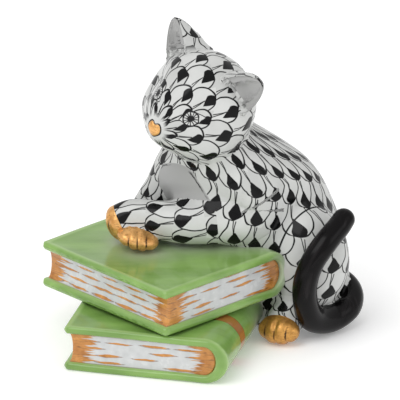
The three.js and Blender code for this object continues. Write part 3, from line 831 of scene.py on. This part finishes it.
def make_cover(name, base, width, length, thick, board, spine, wall, corner, turn,
               label_at=None):
    """Outer and inner outlines share one parameter: straight along a board, half an ellipse
    round the spine, straight back. A ring is the slab stretched between the two. The glaze
    beads up along the rim and lies in slow waves. label_at is where a gilt band crosses the
    spine, in mm along it."""
    flat = width - spine
    inner_bulge = max(spine - wall, 0.5)
    run = np.linspace(EDGE, flat, 36)
    q = np.linspace(-np.pi / 2, np.pi / 2, 26)[1:-1]
    outer = np.concatenate([
        np.stack([run, 0 * run], -1),
        np.stack([flat + spine * np.cos(q), thick / 2 * (1 + np.sin(q))], -1),
        np.stack([run[::-1], 0 * run + thick], -1)])
    inner = np.concatenate([
        np.stack([run, 0 * run + board], -1),
        np.stack([flat + inner_bulge * np.cos(q),
                  thick / 2 + (thick / 2 - board) * np.sin(q)], -1),
        np.stack([run[::-1], 0 * run + thick - board], -1)])
    c = np.linspace(np.pi / 2, 0, 6)[:-1]
    sides = []
    for one, other in ((outer, inner), (inner, outer)):
        mid0, mid1 = (one[0] + other[0]) / 2, (one[-1] + other[-1]) / 2
        sides.append(np.concatenate([board_end(one[0], mid0, c), one,
                                     board_end(one[-1], mid1, c[::-1])]))
    out, inn = sides
    mid, half = (out + inn) / 2, (out - inn) / 2
    slab = rounded_slab(length / 2, board / 2, EDGE)
    long, thin = slab[:, 0], slab[:, 1] / (board / 2)
    shrink = np.concatenate([1 - np.sin(c) * EDGE / (length / 2), np.ones(len(outer)),
                             1 - np.sin(c[::-1]) * EDGE / (length / 2)])
    x = mid[:, None, 0] + half[:, None, 0] * thin
    z = mid[:, None, 1] + half[:, None, 1] * thin
    y = length / 2 + long[None] * shrink[:, None]
    rim = np.minimum(np.minimum(y, length - y), np.minimum(x, 8.0))
    outward = (z - thick / 2) / (thick / 2)
    lift = 0.28 * np.exp(-(rim / 1.6) ** 2) + 0.16 * np.sin(y / 5.1 + 1.3) * np.sin(x / 7.3) - 0.3
    z = z + outward * lift * np.clip((flat - x) / 6, 0, 1)
    z = np.clip(z, 0.0, thick) + base
    points = to_book(np.stack([x, y, z], -1), corner, turn)
    arc = np.concatenate([[0], np.cumsum(np.linalg.norm(np.diff(mid, axis=0), axis=1))])
    u = np.concatenate([y, y[:, :1]], 1)
    pattern = np.stack([u, np.broadcast_to(arc[:, None], u.shape)], -1)
    # Paler green close to the cat: a painted reflection of its white body, fading over about 2
    # mm.
    haze = np.exp(-np.maximum(cat_field(points), 0) / 1.7)
    band = np.full(y.shape, -99.0)
    if label_at is not None:
        band = np.minimum(1.9 - np.abs(y - label_at), x - flat + 1.2)
    return closed_grid(name, points, pattern,
                       extras={"rim": rim, "haze": haze, "band": band})


lower_cover = make_cover("lower_book_cover_green", 0.0, **LOWER, label_at=13.6)
upper_cover = make_cover("upper_book_cover_green", UPPER_BASE, **UPPER)

# %% [markdown]
# The leaves are one solid block, hollow along the fore-edge and round along the spine. It is a
# stack of level outlines: each is the block seen from above, and only the two long sides move
# in or out with height.

# %% Books: the leaves
def make_leaves(name, base, width, length, thick, board, spine, wall, corner, turn, overhang,
                hollow):
    """Levels from the lower board to the upper: x at the fore-edge moves in by the hollow
    times the half circle of the height, and at the spine moves out by the bulge times it."""
    flat = width - spine
    bulge = max(spine - wall, 0.5) - 0.1
    low, high = board - 0.05, thick - board + 0.05
    q = np.linspace(-np.pi / 2, np.pi / 2, 26)
    bow = np.cos(q)[:, None]
    half_y, half_x = length / 2 - overhang, (flat - overhang) / 2
    slab = rounded_slab(half_y, half_x, 0.35, long_steps=70, thick_steps=66)
    share = (slab[:, 1] + half_x)[None] / (2 * half_x)
    fore, back = overhang + hollow * bow, flat + bulge * bow
    x = fore + (back - fore) * share
    y = length / 2 + np.broadcast_to(slab[None, :, 0], x.shape)
    z = np.broadcast_to(((low + high) / 2 + (high - low) / 2 * np.sin(q))[:, None], x.shape)
    points = to_book(np.stack([x, y, z + base], -1), corner, turn)
    step = np.linalg.norm(np.diff(np.vstack([slab, slab[:1]]), axis=0), axis=1)
    run = np.concatenate([[0], np.cumsum(step)])
    height = np.concatenate([z, z[:, :1]], 1)
    pattern = np.stack([np.broadcast_to(run[None], height.shape), height], -1)
    ends_y = np.minimum(y, length - y) - overhang
    ends_x = np.minimum(x - fore, back - x)
    return closed_grid(name, points, pattern, extras={
        "to_corner": np.maximum(ends_y, ends_x), "to_board": np.minimum(z - low, high - z)})


lower_leaves = make_leaves("lower_book_leaves", 0.0, **LOWER, overhang=0.9, hollow=0.9)
upper_leaves = make_leaves("upper_book_leaves", UPPER_BASE, **UPPER, overhang=0.9, hollow=1.2)

# %% [markdown]
# Every finish below is a network of nodes. One function adds a node. A recipe is a few short
# lines of text, such as `c = ADD a b`; each line adds one Math node by that same function.

# %% Nodes and colours
def linear(hex_colour):
    """An sRGB hex colour as the linear red, green, blue and alpha that Blender works in."""
    srgb = [int(hex_colour[i:i + 2], 16) / 255 for i in (1, 3, 5)]
    return [c / 12.92 if c <= 0.04045 else ((c + 0.055) / 1.055) ** 2.4 for c in srgb] + [1.0]


def add(tree, kind, settings=None, links=None):
    """Adds a node; settings are its properties, links give its inputs: a socket to link, a
    hex colour or a plain value."""
    node = tree.nodes.new("ShaderNode" + kind)
    for key, value in (settings or {}).items():
        setattr(node, key, value)
    for key, value in (links or {}).items():
        socket = node.inputs[key]
        if isinstance(value, bpy.types.NodeSocket):
            tree.links.new(value, socket)
        else:
            socket.default_value = linear(value) if isinstance(value, str) else value
    return node


def recipe(tree, lines, known):
    """Each line is `name = OPERATION input input ...`, with numbers or known names as inputs;
    a last word `clamp` keeps the result between 0 and 1."""
    for line in lines.strip().splitlines():
        name, _, operation, *inputs = line.split()
        settings = {"operation": operation}
        if inputs[-1] == "clamp":
            inputs = inputs[:-1]
            settings["use_clamp"] = True
        values = [known[i] if i in known else float(i) for i in inputs]
        known[name] = add(tree, "Math", settings, dict(enumerate(values))).outputs[0]
    return known


COLOUR = {"data_type": "RGBA"}      # a Mix node of colours: inputs 0 share, 6 first, 7 second


def paint_over(tree, under, coats):
    """Coats laid over a colour in turn: each is a share, which says where it shows, and the
    coat's own colour."""
    for share, colour in coats:
        under = add(tree, "Mix", COLOUR, {0: share, 6: under, 7: colour}).outputs[2]
    return under


def finish_of(name, base, metallic=0.0, shine=0.35, coat=0.0, bump_mm=0.05):
    """A new material from `base`, a function that returns colour, roughness and height."""
    material = bpy.data.materials.new(name)
    material.use_nodes = True
    tree = material.node_tree
    tree.nodes.clear()
    colour, rough, height = base(tree)
    relief = add(tree, "Bump", None, {"Strength": 1.0, "Distance": bump_mm * MM,
                                      "Height": height})
    shader = add(tree, "BsdfPrincipled", None, {
        "Base Color": colour, "Roughness": rough, "Metallic": metallic, "IOR": 1.5,
        "Specular IOR Level": shine, "Coat Weight": coat, "Coat Roughness": 0.05,
        "Normal": relief.outputs[0]})
    add(tree, "OutputMaterial", None, {"Surface": shader.outputs[0]})
    return material


def per_mm(tree, mm, detail=2.0, rough=0.5, stretch=(1, 1, 1), turn=0.0, seed=0.0):
    """Noise whose blobs are `mm` across, on Object coordinates. Returns the node."""
    place = add(tree, "TexCoord").outputs["Object"]
    mapping = add(tree, "Mapping", None, {"Vector": place, "Rotation": (0, 0, turn),
                                          "Scale": stretch, "Location": (seed, seed, 0)})
    return add(tree, "TexNoise", None, {"Vector": mapping.outputs[0], "Scale": 1 / (mm * MM),
                                        "Detail": detail, "Roughness": rough})


# %% [markdown]
# **Painted porcelain.** A white body under a clear glaze, with the scales drawn by a fine
# brush in black. The pattern is arithmetic on the surface's own coordinates: `u` counts
# columns and `v` rows, and every second row is moved by half a column. In a cell, x runs from
# -0.5 to 0.5 across and f from 0 to 1 toward the tip. The far side of each scale is one whole
# curve that laps over its neighbour; the near side shows only by the tip.

# %% The scale pattern as a recipe
SCALES = """
row = FLOOR v
f = SUBTRACT v row
odd = FLOORED_MODULO row 2
half = MULTIPLY odd 0.5
moved = SUBTRACT u half
nearest = ROUND moved
x = SUBTRACT moved nearest
past = SUBTRACT f 0.3
past1 = MAXIMUM past 0
past2 = DIVIDE past1 0.7
e2 = MULTIPLY past2 past2
before = SUBTRACT 0.3 f
before1 = MAXIMUM before 0
before2 = MULTIPLY before1 before1
bend = MULTIPLY before2 0.889
xr = ADD x bend
right = DIVIDE xr 0.58
right2 = MULTIPLY_ADD right right e2
level_right = SQRT right2
xn = ADD xr 1
next = DIVIDE xn 0.58
next2 = MULTIPLY_ADD next next e2
level_next = SQRT next2
low = SUBTRACT f 0.45
low1 = MAXIMUM low 0
low2 = DIVIDE low1 0.55
low3 = MULTIPLY low2 low2
left = DIVIDE x 0.56
left2 = MULTIPLY_ADD left left low3
level_left = SQRT left2
is_right = GREATER_THAN x 0
differ = SUBTRACT level_right level_left
own = MULTIPLY_ADD differ is_right level_left
lapped = LESS_THAN level_next 1
span0 = MULTIPLY cell_w 0.27
span = MULTIPLY_ADD cell_h 0.33 span0
gap_next = SUBTRACT level_next 1
gap_next1 = ABSOLUTE gap_next
gap_own = SUBTRACT own 1
gap_own1 = ABSOLUTE gap_own
gap_own2 = MULTIPLY_ADD lapped 9 gap_own1
gap = MINIMUM gap_next1 gap_own2
edge_mm = MULTIPLY gap span
X = ADD x lapped
own_in = LESS_THAN own 1
inside = MAXIMUM own_in lapped
outside = SUBTRACT 1 inside
far = MULTIPLY outside 9
vein_a = MULTIPLY_ADD f 0.528 -0.314
vein_b = MULTIPLY_ADD f 0.304 -0.202
va = SUBTRACT X vein_a
vb = SUBTRACT X vein_b
va1 = ABSOLUTE va
vb1 = ABSOLUTE vb
vein = MINIMUM va1 vb1
late = GREATER_THAN f 0.52
vein1 = MULTIPLY vein cell_w
vein2 = MULTIPLY_ADD late 9 vein1
vein_mm = ADD vein2 far
px0 = ADD X apex
px = MULTIPLY px0 cell_w
py0 = SUBTRACT f start
py = MULTIPLY py0 cell_h
ax = MULTIPLY cell_w lean
ay = MULTIPLY cell_h 0.34
ax2 = MULTIPLY ax ax
length2 = MULTIPLY_ADD ay ay ax2
dot0 = MULTIPLY px ax
dot = MULTIPLY_ADD py ay dot0
t = DIVIDE dot length2 clamp
tx = MULTIPLY t ax
ty = MULTIPLY t ay
dx = SUBTRACT px tx
dy = SUBTRACT py ty
dx2 = MULTIPLY dx dx
dxy = MULTIPLY_ADD dy dy dx2
reach = SQRT dxy
fat0 = MULTIPLY cell_w 0.14
fat2 = MULTIPLY_ADD cell_h 0.11 fat0
fat = MULTIPLY fat2 body
grow = POWER t 0.85
fat1 = MULTIPLY fat grow
drop0 = SUBTRACT reach fat1
drop_mm = ADD drop0 far
id_x = SUBTRACT nearest lapped
id_y = ADD row outside
line_ink = MULTIPLY_ADD edge_mm -9 2.05 clamp
vein_ink = MULTIPLY_ADD vein_mm -11 1.8 clamp
drop_ink = MULTIPLY_ADD drop_mm -9 0.6 clamp
"""


def scale_sockets(tree, apex, lean, start, body):
    """The recipe on the piece's own pattern map, wobbled by noise as a hand wobbles."""
    uv = add(tree, "UVMap", {"uv_map": "pattern"}).outputs[0]
    shake = per_mm(tree, 3.4, detail=1.0).outputs["Color"]
    shaken = add(tree, "VectorMath", {"operation": "MULTIPLY_ADD"},
                 {0: shake, 1: (0.16, 0.14, 0.0), 2: uv}).outputs[0]
    parts = add(tree, "SeparateXYZ", None, {0: shaken})
    known = {"u": parts.outputs[0], "v": parts.outputs[1], "apex": apex, "lean": lean,
             "start": start, "body": body}
    for key in ("cell_w", "cell_h", "plain", "outline", "bald"):
        known[key] = add(tree, "Attribute", {"attribute_name": key}).outputs["Fac"]
    return recipe(tree, SCALES, known)


# %% Painted porcelain
# A drop: its apex left of the middle, its lean, where it starts in the cell, its fatness.
HEAD_DROP = (0.28, 0.25, 0.44, 1.02)
BODY_DROP = (0.03, 0.14, 0.41, 1.0)


def painted_porcelain(tree, eyes=False):
    """White glaze, greyer in random clouds, with the plain bib and ear hollows laid a flat darker
    grey as painted shade, under three kinds of black ink.
    """
    k = scale_sockets(tree, *(HEAD_DROP if eyes else BODY_DROP))
    cell = add(tree, "CombineXYZ", None, {0: k["id_x"], 1: k["id_y"]}).outputs[0]
    chance = add(tree, "TexWhiteNoise", {"noise_dimensions": "2D"}, {"Vector": cell})
    cloud = per_mm(tree, 6.0, detail=3.0).outputs["Fac"]
    streak = per_mm(tree, 0.9, detail=4.0, rough=0.7).outputs["Fac"]
    k.update(chance=chance.outputs["Value"], cloud=cloud, streak=streak)
    recipe(tree, """
shade0 = MULTIPLY_ADD chance 0.5 -0.1
shade1 = MULTIPLY_ADD cloud 0.9 shade0
shade = SUBTRACT shade1 0.25 clamp
drop_thin = MULTIPLY chance 0.22
drop_var = MULTIPLY_ADD streak 0.6 -0.12
drop_tone = ADD drop_thin drop_var clamp
painted0 = MAXIMUM line_ink vein_ink
patterned0 = MULTIPLY_ADD plain -14 1 clamp
haired = SUBTRACT 1 bald
patterned = MULTIPLY patterned0 haired
painted1 = MULTIPLY painted0 patterned
ragged0 = MULTIPLY_ADD streak 0.6 plain
ragged1 = SUBTRACT ragged0 0.75
ragged2 = ABSOLUTE ragged1
rim_ink0 = MULTIPLY_ADD ragged2 -8 1.7 clamp
rim_part = MULTIPLY_ADD cloud 9 -4.1 clamp
rim_ink = MULTIPLY rim_ink0 rim_part
painted2 = MAXIMUM painted1 rim_ink
outline1 = SUBTRACT outline 9
outline2 = ABSOLUTE outline1
outline_ink = MULTIPLY_ADD outline2 -9 2.0 clamp
painted = MAXIMUM painted2 outline_ink
dropped = MULTIPLY drop_ink patterned
bare = MULTIPLY plain 6 clamp
""", k)
    drop = paint_over(tree, "#030303", [(k["drop_tone"], "#202122")])
    # The plain patches (the chest bib under the chin, the ear hollows) are laid a darker grey
    # than the glaze: that grey is painted shade.
    inked = paint_over(tree, "#d2d3d1", [
        (k["shade"], "#b4b5b3"), (k["bare"], "#a4a4a3"), (k["painted"], "#131415"),
        (k["dropped"], drop)])
    if eyes:
        inked = paint_eyes(tree, inked)
    recipe(tree, """
ink_high = MAXIMUM painted dropped
height0 = MULTIPLY ink_high 0.25
height = MULTIPLY_ADD cloud 0.8 height0
rough = MULTIPLY_ADD streak 0.12 0.1
""", k)
    return inked, k["rough"], k["height"]


# %% [markdown]
# The eyes are small wheels: a black pupil, thin spokes and a lid line that runs out to a
# point at the outer corner. The head carries two numbers for them, the distance from the
# nearer eye toward its outer corner and up, in millimetres.

# %% Painted eyes
def paint_eyes(tree, under):
    """Pupil, spokes and lids over the colour below, with the scales wiped out inside."""
    k = {key: add(tree, "Attribute", {"attribute_name": key}).outputs["Fac"]
         for key in ("eye_x", "eye_y", "eye_near")}
    k["shake"] = per_mm(tree, 1.1, detail=1.0).outputs["Fac"]
    recipe(tree, """
shake1 = MULTIPLY_ADD shake 0.5 -0.25
ex = ADD eye_x shake1
ey = SUBTRACT eye_y shake1
rx = DIVIDE ex 1.62
ry = DIVIDE ey 1.6
rx2 = MULTIPLY rx rx
r2 = MULTIPLY_ADD ry ry rx2
r = SQRT r2
ring0 = SUBTRACT r 1
ring1 = ABSOLUTE ring0
ring = MULTIPLY_ADD ring1 -14 2.0 clamp
pupil = MULTIPLY_ADD r -8 4.4 clamp
angle = ARCTAN2 ry rx
spoke0 = MULTIPLY angle 7
spoke1 = COSINE spoke0
spoke2 = ABSOLUTE spoke1
spoke_w = MULTIPLY spoke2 r
spoke3 = MULTIPLY_ADD spoke_w -3.0 1.75 clamp
inner = LESS_THAN r 1
spokes = MULTIPLY spoke3 inner
outer = GREATER_THAN ex 0
lid_long = MULTIPLY_ADD outer 0.6 2.5
ex1 = ABSOLUTE ex
tail = DIVIDE ex1 lid_long
tail1 = SUBTRACT 1 tail
tail2 = MULTIPLY tail1 2.0
side = GREATER_THAN ex1 0.85
short = LESS_THAN tail 1.02
ey1 = ABSOLUTE ey
lid0 = SUBTRACT ey1 tail2
lid1 = ABSOLUTE lid0
lid2 = MULTIPLY_ADD lid1 -9 1.5 clamp
lid3 = MULTIPLY lid2 side
lid = MULTIPLY lid3 short
in_lid0 = SUBTRACT tail2 ey1
in_lid1 = MULTIPLY in_lid0 8 clamp
in_lid2 = MULTIPLY in_lid1 side
in_wheel = MULTIPLY_ADD r -6 6.6 clamp
white0 = MAXIMUM in_lid2 in_wheel
white = MULTIPLY white0 eye_near
ink0 = MAXIMUM ring pupil
ink1 = MAXIMUM ink0 spokes
ink2 = MAXIMUM ink1 lid
ink = MULTIPLY ink2 eye_near
""", k)
    return paint_over(tree, under, [(k["white"], "#d0d1cf"), (k["ink"], "#1c1d1e")])


porcelain = finish_of("painted_porcelain", painted_porcelain, shine=0.16, bump_mm=0.03)
porcelain_face = finish_of("painted_porcelain_face", lambda tree: painted_porcelain(tree, True),
                           shine=0.16, bump_mm=0.03)

# %% [markdown]
# ** Gilding.** Bright gold, painted on after glazing and fired again at a low heat. It is a
# metal, but a thin one with brush marks, so it is part metallic and soft in its shine. Its
# lighter and darker streaks are partly brush marks and partly painted highlights and painted
# reflections.

# %% Fired gilding
def gilding(tree, pitch=2.2, low="#b9772f", high="#f0b871"):
    """Warm gold with streaks of a lighter and a darker gold, partly brush marks and partly
    painted highlights and reflections, with dark toe lines.
    """
    broad = per_mm(tree, 2.6, detail=3.0, rough=0.6).outputs["Fac"]
    fine = per_mm(tree, 0.7, detail=4.0, rough=0.7, stretch=(1, 1, 2.4)).outputs["Fac"]
    k = {"broad": broad, "fine": fine, "pitch": pitch}
    for key in ("toe_across", "toe_front"):
        k[key] = add(tree, "Attribute", {"attribute_name": key}).outputs["Fac"]
    # tone lifts the gold toward its light colour and dark deepens it: brush streaks, and also
    # painted highlights and painted reflections.
    recipe(tree, """
tone0 = MULTIPLY_ADD broad 2.4 -0.7
tone = MULTIPLY_ADD fine 0.5 tone0
dark = MULTIPLY_ADD fine 4.0 -2.0 clamp
toe0 = FLOORED_MODULO toe_across pitch
toe_mid = MULTIPLY pitch 0.5
toe1 = SUBTRACT toe0 toe_mid
toe2 = ABSOLUTE toe1
toe3 = MULTIPLY_ADD toe2 -7 1.6 clamp
line = MULTIPLY toe3 toe_front
rough = MULTIPLY_ADD fine 0.25 0.22
""", k)
    lined = paint_over(tree, low, [(k["tone"], high), (k["dark"], "#7d4f22"),
                                   (k["line"], "#3a2617")])
    return lined, k["rough"], k["fine"]


gilt = finish_of("fired_gilding", gilding, metallic=0.6, coat=0.2, bump_mm=0.04)
# The hind paws get a darker copy of the gilding: painted shade, for paws that sit low and in
# shade.
gilt_wide_shaded = finish_of("fired_gilding_wide_toes_shaded",
                      lambda tree: gilding(tree, 2.7, "#8a5a20", "#d9a052"),
                      metallic=0.6, coat=0.2, bump_mm=0.04)

# %% [markdown]
# **Black enamel.** The tail is brushed all over with one thick coat of black under the glaze.
# Long brush marks along it let a little grey through, and the glaze gives it a wet shine.

# %% Black enamel
def black_enamel(tree):
    """Nearly black, with grey brush streaks along the tail's own length."""
    uv = add(tree, "UVMap", {"uv_map": "pattern"}).outputs[0]
    stroke = add(tree, "Mapping", None, {"Vector": uv, "Scale": (2.2, 0.45, 1.0)}).outputs[0]
    streak = add(tree, "TexNoise", None, {"Vector": stroke, "Scale": 1.0, "Detail": 4.0})
    cloud = per_mm(tree, 7.0, detail=2.0).outputs["Fac"]
    k = {"streak": streak.outputs["Fac"], "cloud": cloud}
    recipe(tree, """
both = MULTIPLY streak cloud
grey = MULTIPLY_ADD both 5.0 -1.45 clamp
rough = MULTIPLY_ADD streak 0.2 0.12
""", k)
    return paint_over(tree, "#080607", [(k["grey"], "#242122")]), k["rough"], k["streak"]


black = finish_of("black_enamel", black_enamel, shine=0.14, bump_mm=0.04)

# %% [markdown]
# ** Green enamel.** The covers are washed with a wide brush, in long darker and lighter strokes. A
# light line along every board's edge is a painted highlight on the beaded rim, and the paler
# green close to the cat is a painted reflection of its white body.

# %% Green enamel
def green_enamel(tree):
    """Mid green with long darker and lighter strokes, a painted highlight along every board's
    edge and a painted reflection of the white cat beside it.
    """
    broad = per_mm(tree, 16.0, detail=1.5).outputs["Fac"]
    stroke = per_mm(tree, 7.0, detail=3.0, rough=0.5, stretch=(0.35, 1.3, 1.3), turn=-0.4)
    fine = per_mm(tree, 3.0, detail=3.0, rough=0.6, stretch=(0.4, 1.2, 1.2), turn=-0.4)
    k = {"broad": broad, "stroke": stroke.outputs["Fac"], "fine": fine.outputs["Fac"]}
    # pale, from the cat's distance, is a painted reflection of the white cat in the glaze.
    for key in ("rim", "haze", "band"):
        k[key] = add(tree, "Attribute", {"attribute_name": key}).outputs["Fac"]
    # edge is a painted highlight: a light green line about 1.5 mm in from each board's rim.
    recipe(tree, """
deep0 = MULTIPLY_ADD stroke 2.6 -1.25
deep1 = MULTIPLY_ADD broad 2.0 deep0
deep = SUBTRACT deep1 0.5 clamp
fine1 = MULTIPLY_ADD fine 1.4 -0.45 clamp
rim_wavy = MULTIPLY_ADD broad 1.2 rim
edge1 = SUBTRACT rim_wavy 1.5
edge2 = ABSOLUTE edge1
edge0 = MULTIPLY_ADD edge2 -1.8 1.3 clamp
edge = MULTIPLY edge0 0.85
pale0 = MULTIPLY_ADD haze 1.3 -0.15
pale = MULTIPLY_ADD fine 0.25 pale0 clamp
band_wavy = MULTIPLY_ADD fine 0.8 band
band_in = MULTIPLY_ADD band_wavy 4 -1.6 clamp
band_edge0 = SUBTRACT band_in 0.5
band_edge1 = ABSOLUTE band_edge0
band_edge = MULTIPLY_ADD band_edge1 -2.0 1.2 clamp
rough = MULTIPLY_ADD fine 0.15 0.16
height = MULTIPLY_ADD stroke 0.5 fine
""", k)
    ring = paint_over(tree, "#96c56b", [
        (k["deep"], "#70a04e"), (k["fine1"], "#7fb057"), (k["edge"], "#a6cf80"),
        (k["pale"], "#c3d8b6"), (k["band_in"], "#a76c33"), (k["band_edge"], "#6b4423")])
    return ring, k["rough"], k["height"]


green = finish_of("green_enamel", green_enamel, coat=0.4, bump_mm=0.06)

# %% [markdown]
# **Painted leaves.** White glaze with short strokes of gold along the leaves, solid gold at
# every corner with a ragged edge, and a thin brown line where the leaves meet the boards.

# %% Gilt-streaked leaves
def painted_leaves(tree):
    """Strokes are slim ovals in lanes 1.55 mm apart, one every 7.5 mm of a lane, each pushed
    along by chance and left out now and then. level is 1 on an oval's edge."""
    uv = add(tree, "UVMap", {"uv_map": "pattern"}).outputs[0]
    slim = add(tree, "Mapping", None, {"Vector": uv, "Scale": (0.3, 0.9, 1.0)}).outputs[0]
    marks = add(tree, "TexNoise", None, {"Vector": slim, "Scale": 1.0, "Detail": 3.0})
    thin = add(tree, "Mapping", None, {"Vector": uv, "Scale": (0.12, 2.6, 1.0)}).outputs[0]
    ragged = add(tree, "TexNoise", None, {"Vector": thin, "Scale": 1.0, "Detail": 2.0})
    parts = add(tree, "SeparateXYZ", None, {0: uv})
    k = {"marks": marks.outputs["Fac"], "ragged": ragged.outputs["Fac"],
         "u": parts.outputs[0], "v": parts.outputs[1],
         "cloud": per_mm(tree, 2.0, detail=3.0).outputs["Fac"]}
    for key in ("to_corner", "to_board"):
        k[key] = add(tree, "Attribute", {"attribute_name": key}).outputs["Fac"]
    recipe(tree, """
lane0 = DIVIDE v 1.55
lane = FLOOR lane0
""", k)
    push = add(tree, "TexWhiteNoise", {"noise_dimensions": "1D"}, {"W": k["lane"]})
    k["push"] = push.outputs["Value"]
    recipe(tree, """
run0 = MULTIPLY_ADD push 40 u
run = DIVIDE run0 7.5
turn = FLOOR run
""", k)
    cell = add(tree, "CombineXYZ", None, {0: k["lane"], 1: k["turn"]}).outputs[0]
    chance = add(tree, "TexWhiteNoise", {"noise_dimensions": "2D"}, {"Vector": cell})
    k["chance"] = chance.outputs["Value"]
    recipe(tree, """
dx0 = SUBTRACT run turn
dx1 = SUBTRACT dx0 0.5
dx2 = MULTIPLY dx1 7.5
long = MULTIPLY_ADD chance 1.5 1.9
dx = DIVIDE dx2 long
dy0 = SUBTRACT lane0 lane
dy1 = SUBTRACT dy0 0.5
dy2 = MULTIPLY dy1 1.55
wave = SUBTRACT marks 0.5
dy3 = MULTIPLY_ADD wave 0.7 dy2
dy = DIVIDE dy3 0.25
dxx = MULTIPLY dx dx
level0 = MULTIPLY_ADD dy dy dxx
level = SQRT level0
kept = GREATER_THAN chance 0.14
stroke0 = MULTIPLY_ADD level -5 5.5 clamp
stroke = MULTIPLY stroke0 kept
reach0 = MULTIPLY_ADD ragged 9.0 -0.6
reach1 = SUBTRACT reach0 to_corner
corner = MULTIPLY_ADD reach1 1.4 0.5 clamp
gold = MAXIMUM stroke corner
brown0 = SUBTRACT level 1.15
brown1 = ABSOLUTE brown0
brown2 = MULTIPLY_ADD brown1 -4 1.0 clamp
under = LESS_THAN dy 0.4
brown3 = MULTIPLY brown2 under
brown4 = MULTIPLY brown3 kept
brown5 = MULTIPLY brown4 0.7
crack0 = SUBTRACT ragged 0.5
crack1 = ABSOLUTE crack0
crack2 = MULTIPLY_ADD crack1 -30 0.8 clamp
crack = MULTIPLY crack2 corner
border = MULTIPLY_ADD to_board -3.2 0.95 clamp
border1 = MULTIPLY border 0.8
brown6 = MAXIMUM brown5 border1
brown7 = MULTIPLY_ADD crack 0.6 brown6 clamp
tone = MULTIPLY_ADD cloud 2.2 -0.6 clamp
rough = MULTIPLY_ADD cloud 0.2 0.15
height = MULTIPLY_ADD gold 0.6 cloud
""", k)
    amber = paint_over(tree, "#a8692c", [(k["tone"], "#d8984f")])
    lined = paint_over(tree, "#c0c2c3", [(k["tone"], "#d2d3d4"), (k["gold"], amber),
                                         (k["brown7"], "#6d4a30")])
    return lined, k["rough"], k["height"]


leaves = finish_of("gilt_streaked_leaves", painted_leaves, coat=0.3, bump_mm=0.05)

# %% [markdown]
# Each piece now gets its finish, rides on the one body and stands for its casting.

# %% Which finish goes where
PLACES = [
    (torso, porcelain, "scale_painted_body", ["torso"]),
    (head, porcelain_face, "scale_painted_body", ["head"]),
    (ear_left, porcelain, "scale_painted_body", ["ear_left"]),
    (ear_right, porcelain, "scale_painted_body", ["ear_right"]),
    (nose, gilt, "gilding", ["nose"]),
    (foreleg_left, porcelain, "scale_painted_body", ["foreleg_left"]),
    (forepaw_left, gilt, "gilding", ["forepaw_left"]),
    (foreleg_right, porcelain, "scale_painted_body", ["foreleg_right"]),
    (forepaw_right, gilt, "gilding", ["forepaw_right"]),
    (thigh_left, porcelain, "scale_painted_body", ["hind_leg_left"]),
    (shank_left, porcelain, "scale_painted_body", ["hind_leg_left"]),
    (thigh_right, porcelain, "scale_painted_body", ["hind_leg_right"]),
    (shank_right, porcelain, "scale_painted_body", ["hind_leg_right"]),
    (hind_paw_left, gilt_wide_shaded, "gilding", ["hind_paw_left"]),
    (hind_paw_right, gilt_wide_shaded, "gilding", ["hind_paw_right"]),
    (tail, black, "black_tail", ["tail"]),
    (lower_cover, green, "green_covers", ["lower_book_cover"]),
    (upper_cover, green, "green_covers", ["upper_book_cover"]),
    (lower_leaves, leaves, "book_pages", ["lower_book_pages"]),
    (upper_leaves, leaves, "book_pages", ["upper_book_pages"]),
]
for piece, material, slot_name, nodes in PLACES:
    piece.data.materials.append(material)
    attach(piece, "root")
    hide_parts(*nodes)

# %% [markdown]
# The figurine stands on a plain pale table under a wide soft sky, with one large lamp above
# and to the left, so the glaze has something to reflect and shadows stay faint.

# %% Table, light and camera
def make_table():
    """One square sheet of a pale matt board, just under the lowest point."""
    side = 1.5
    low = CAD_BOX[0][2] - 0.00005
    mesh = bpy.data.meshes.new("table")
    corners = [(-side, -side, low), (side, -side, low), (side, side, low), (-side, side, low)]
    mesh.from_pydata(corners, [], [(0, 1, 2, 3)])
    table = bpy.data.objects.new("table", mesh)
    bpy.context.collection.objects.link(table)
    board = bpy.data.materials.new("matt_board")
    board.use_nodes = True
    tree = board.node_tree
    tree.nodes.clear()
    shader = add(tree, "BsdfPrincipled", None, {
        "Base Color": "#ffffff", "Roughness": 0.9, "Emission Color": "#ffffff",
        "Emission Strength": 0.16})
    add(tree, "OutputMaterial", None, {"Surface": shader.outputs[0]})
    mesh.materials.append(board)
    return table


table = make_table()
world = bpy.data.worlds.new("soft_sky")
world.use_nodes = True
world.node_tree.nodes.clear()
sky = add(world.node_tree, "Background", None, {"Color": "#ffffff", "Strength": 0.78})
add(world.node_tree, "OutputWorld", None, {"Surface": sky.outputs[0]})
bpy.context.scene.world = world


def lamp(name, at, towards, size, watts):
    """A square area lamp at a point, turned to face another."""
    light = bpy.data.lights.new(name, "AREA")
    light.shape, light.size, light.energy = "SQUARE", size, watts
    piece = bpy.data.objects.new(name, light)
    piece.location = at
    piece.rotation_euler = (Vector(towards) - Vector(at)).to_track_quat("-Z", "Y").to_euler()
    bpy.context.collection.objects.link(piece)


lamp("lamp_above", (-0.25, -0.3, 0.5), (0, 0, 0.03), 0.4, 1.3)
lamp("lamp_right", (0.5, -0.3, 0.25), (0, 0, 0.03), 0.3, 0.3)

ELEVATION = math.radians(23)
VIEW_WIDTH, AIM_HEIGHT = 85.106 * MM, 31.34 * MM
CAMERA_AWAY = 0.6
aim = Vector((SHIFT[0] * MM, SHIFT[1] * MM, AIM_HEIGHT))
away = Vector((0, -math.cos(ELEVATION), math.sin(ELEVATION)))
view = bpy.data.cameras.new("view")
view.type = "ORTHO"
view.ortho_scale = VIEW_WIDTH
camera = bpy.data.objects.new("view", view)
camera.location = aim + away * CAMERA_AWAY
camera.rotation_euler = (-away).to_track_quat("-Z", "Y").to_euler()
bpy.context.collection.objects.link(camera)
bpy.context.scene.camera = camera
bpy.context.scene.view_settings.view_transform = "Standard"
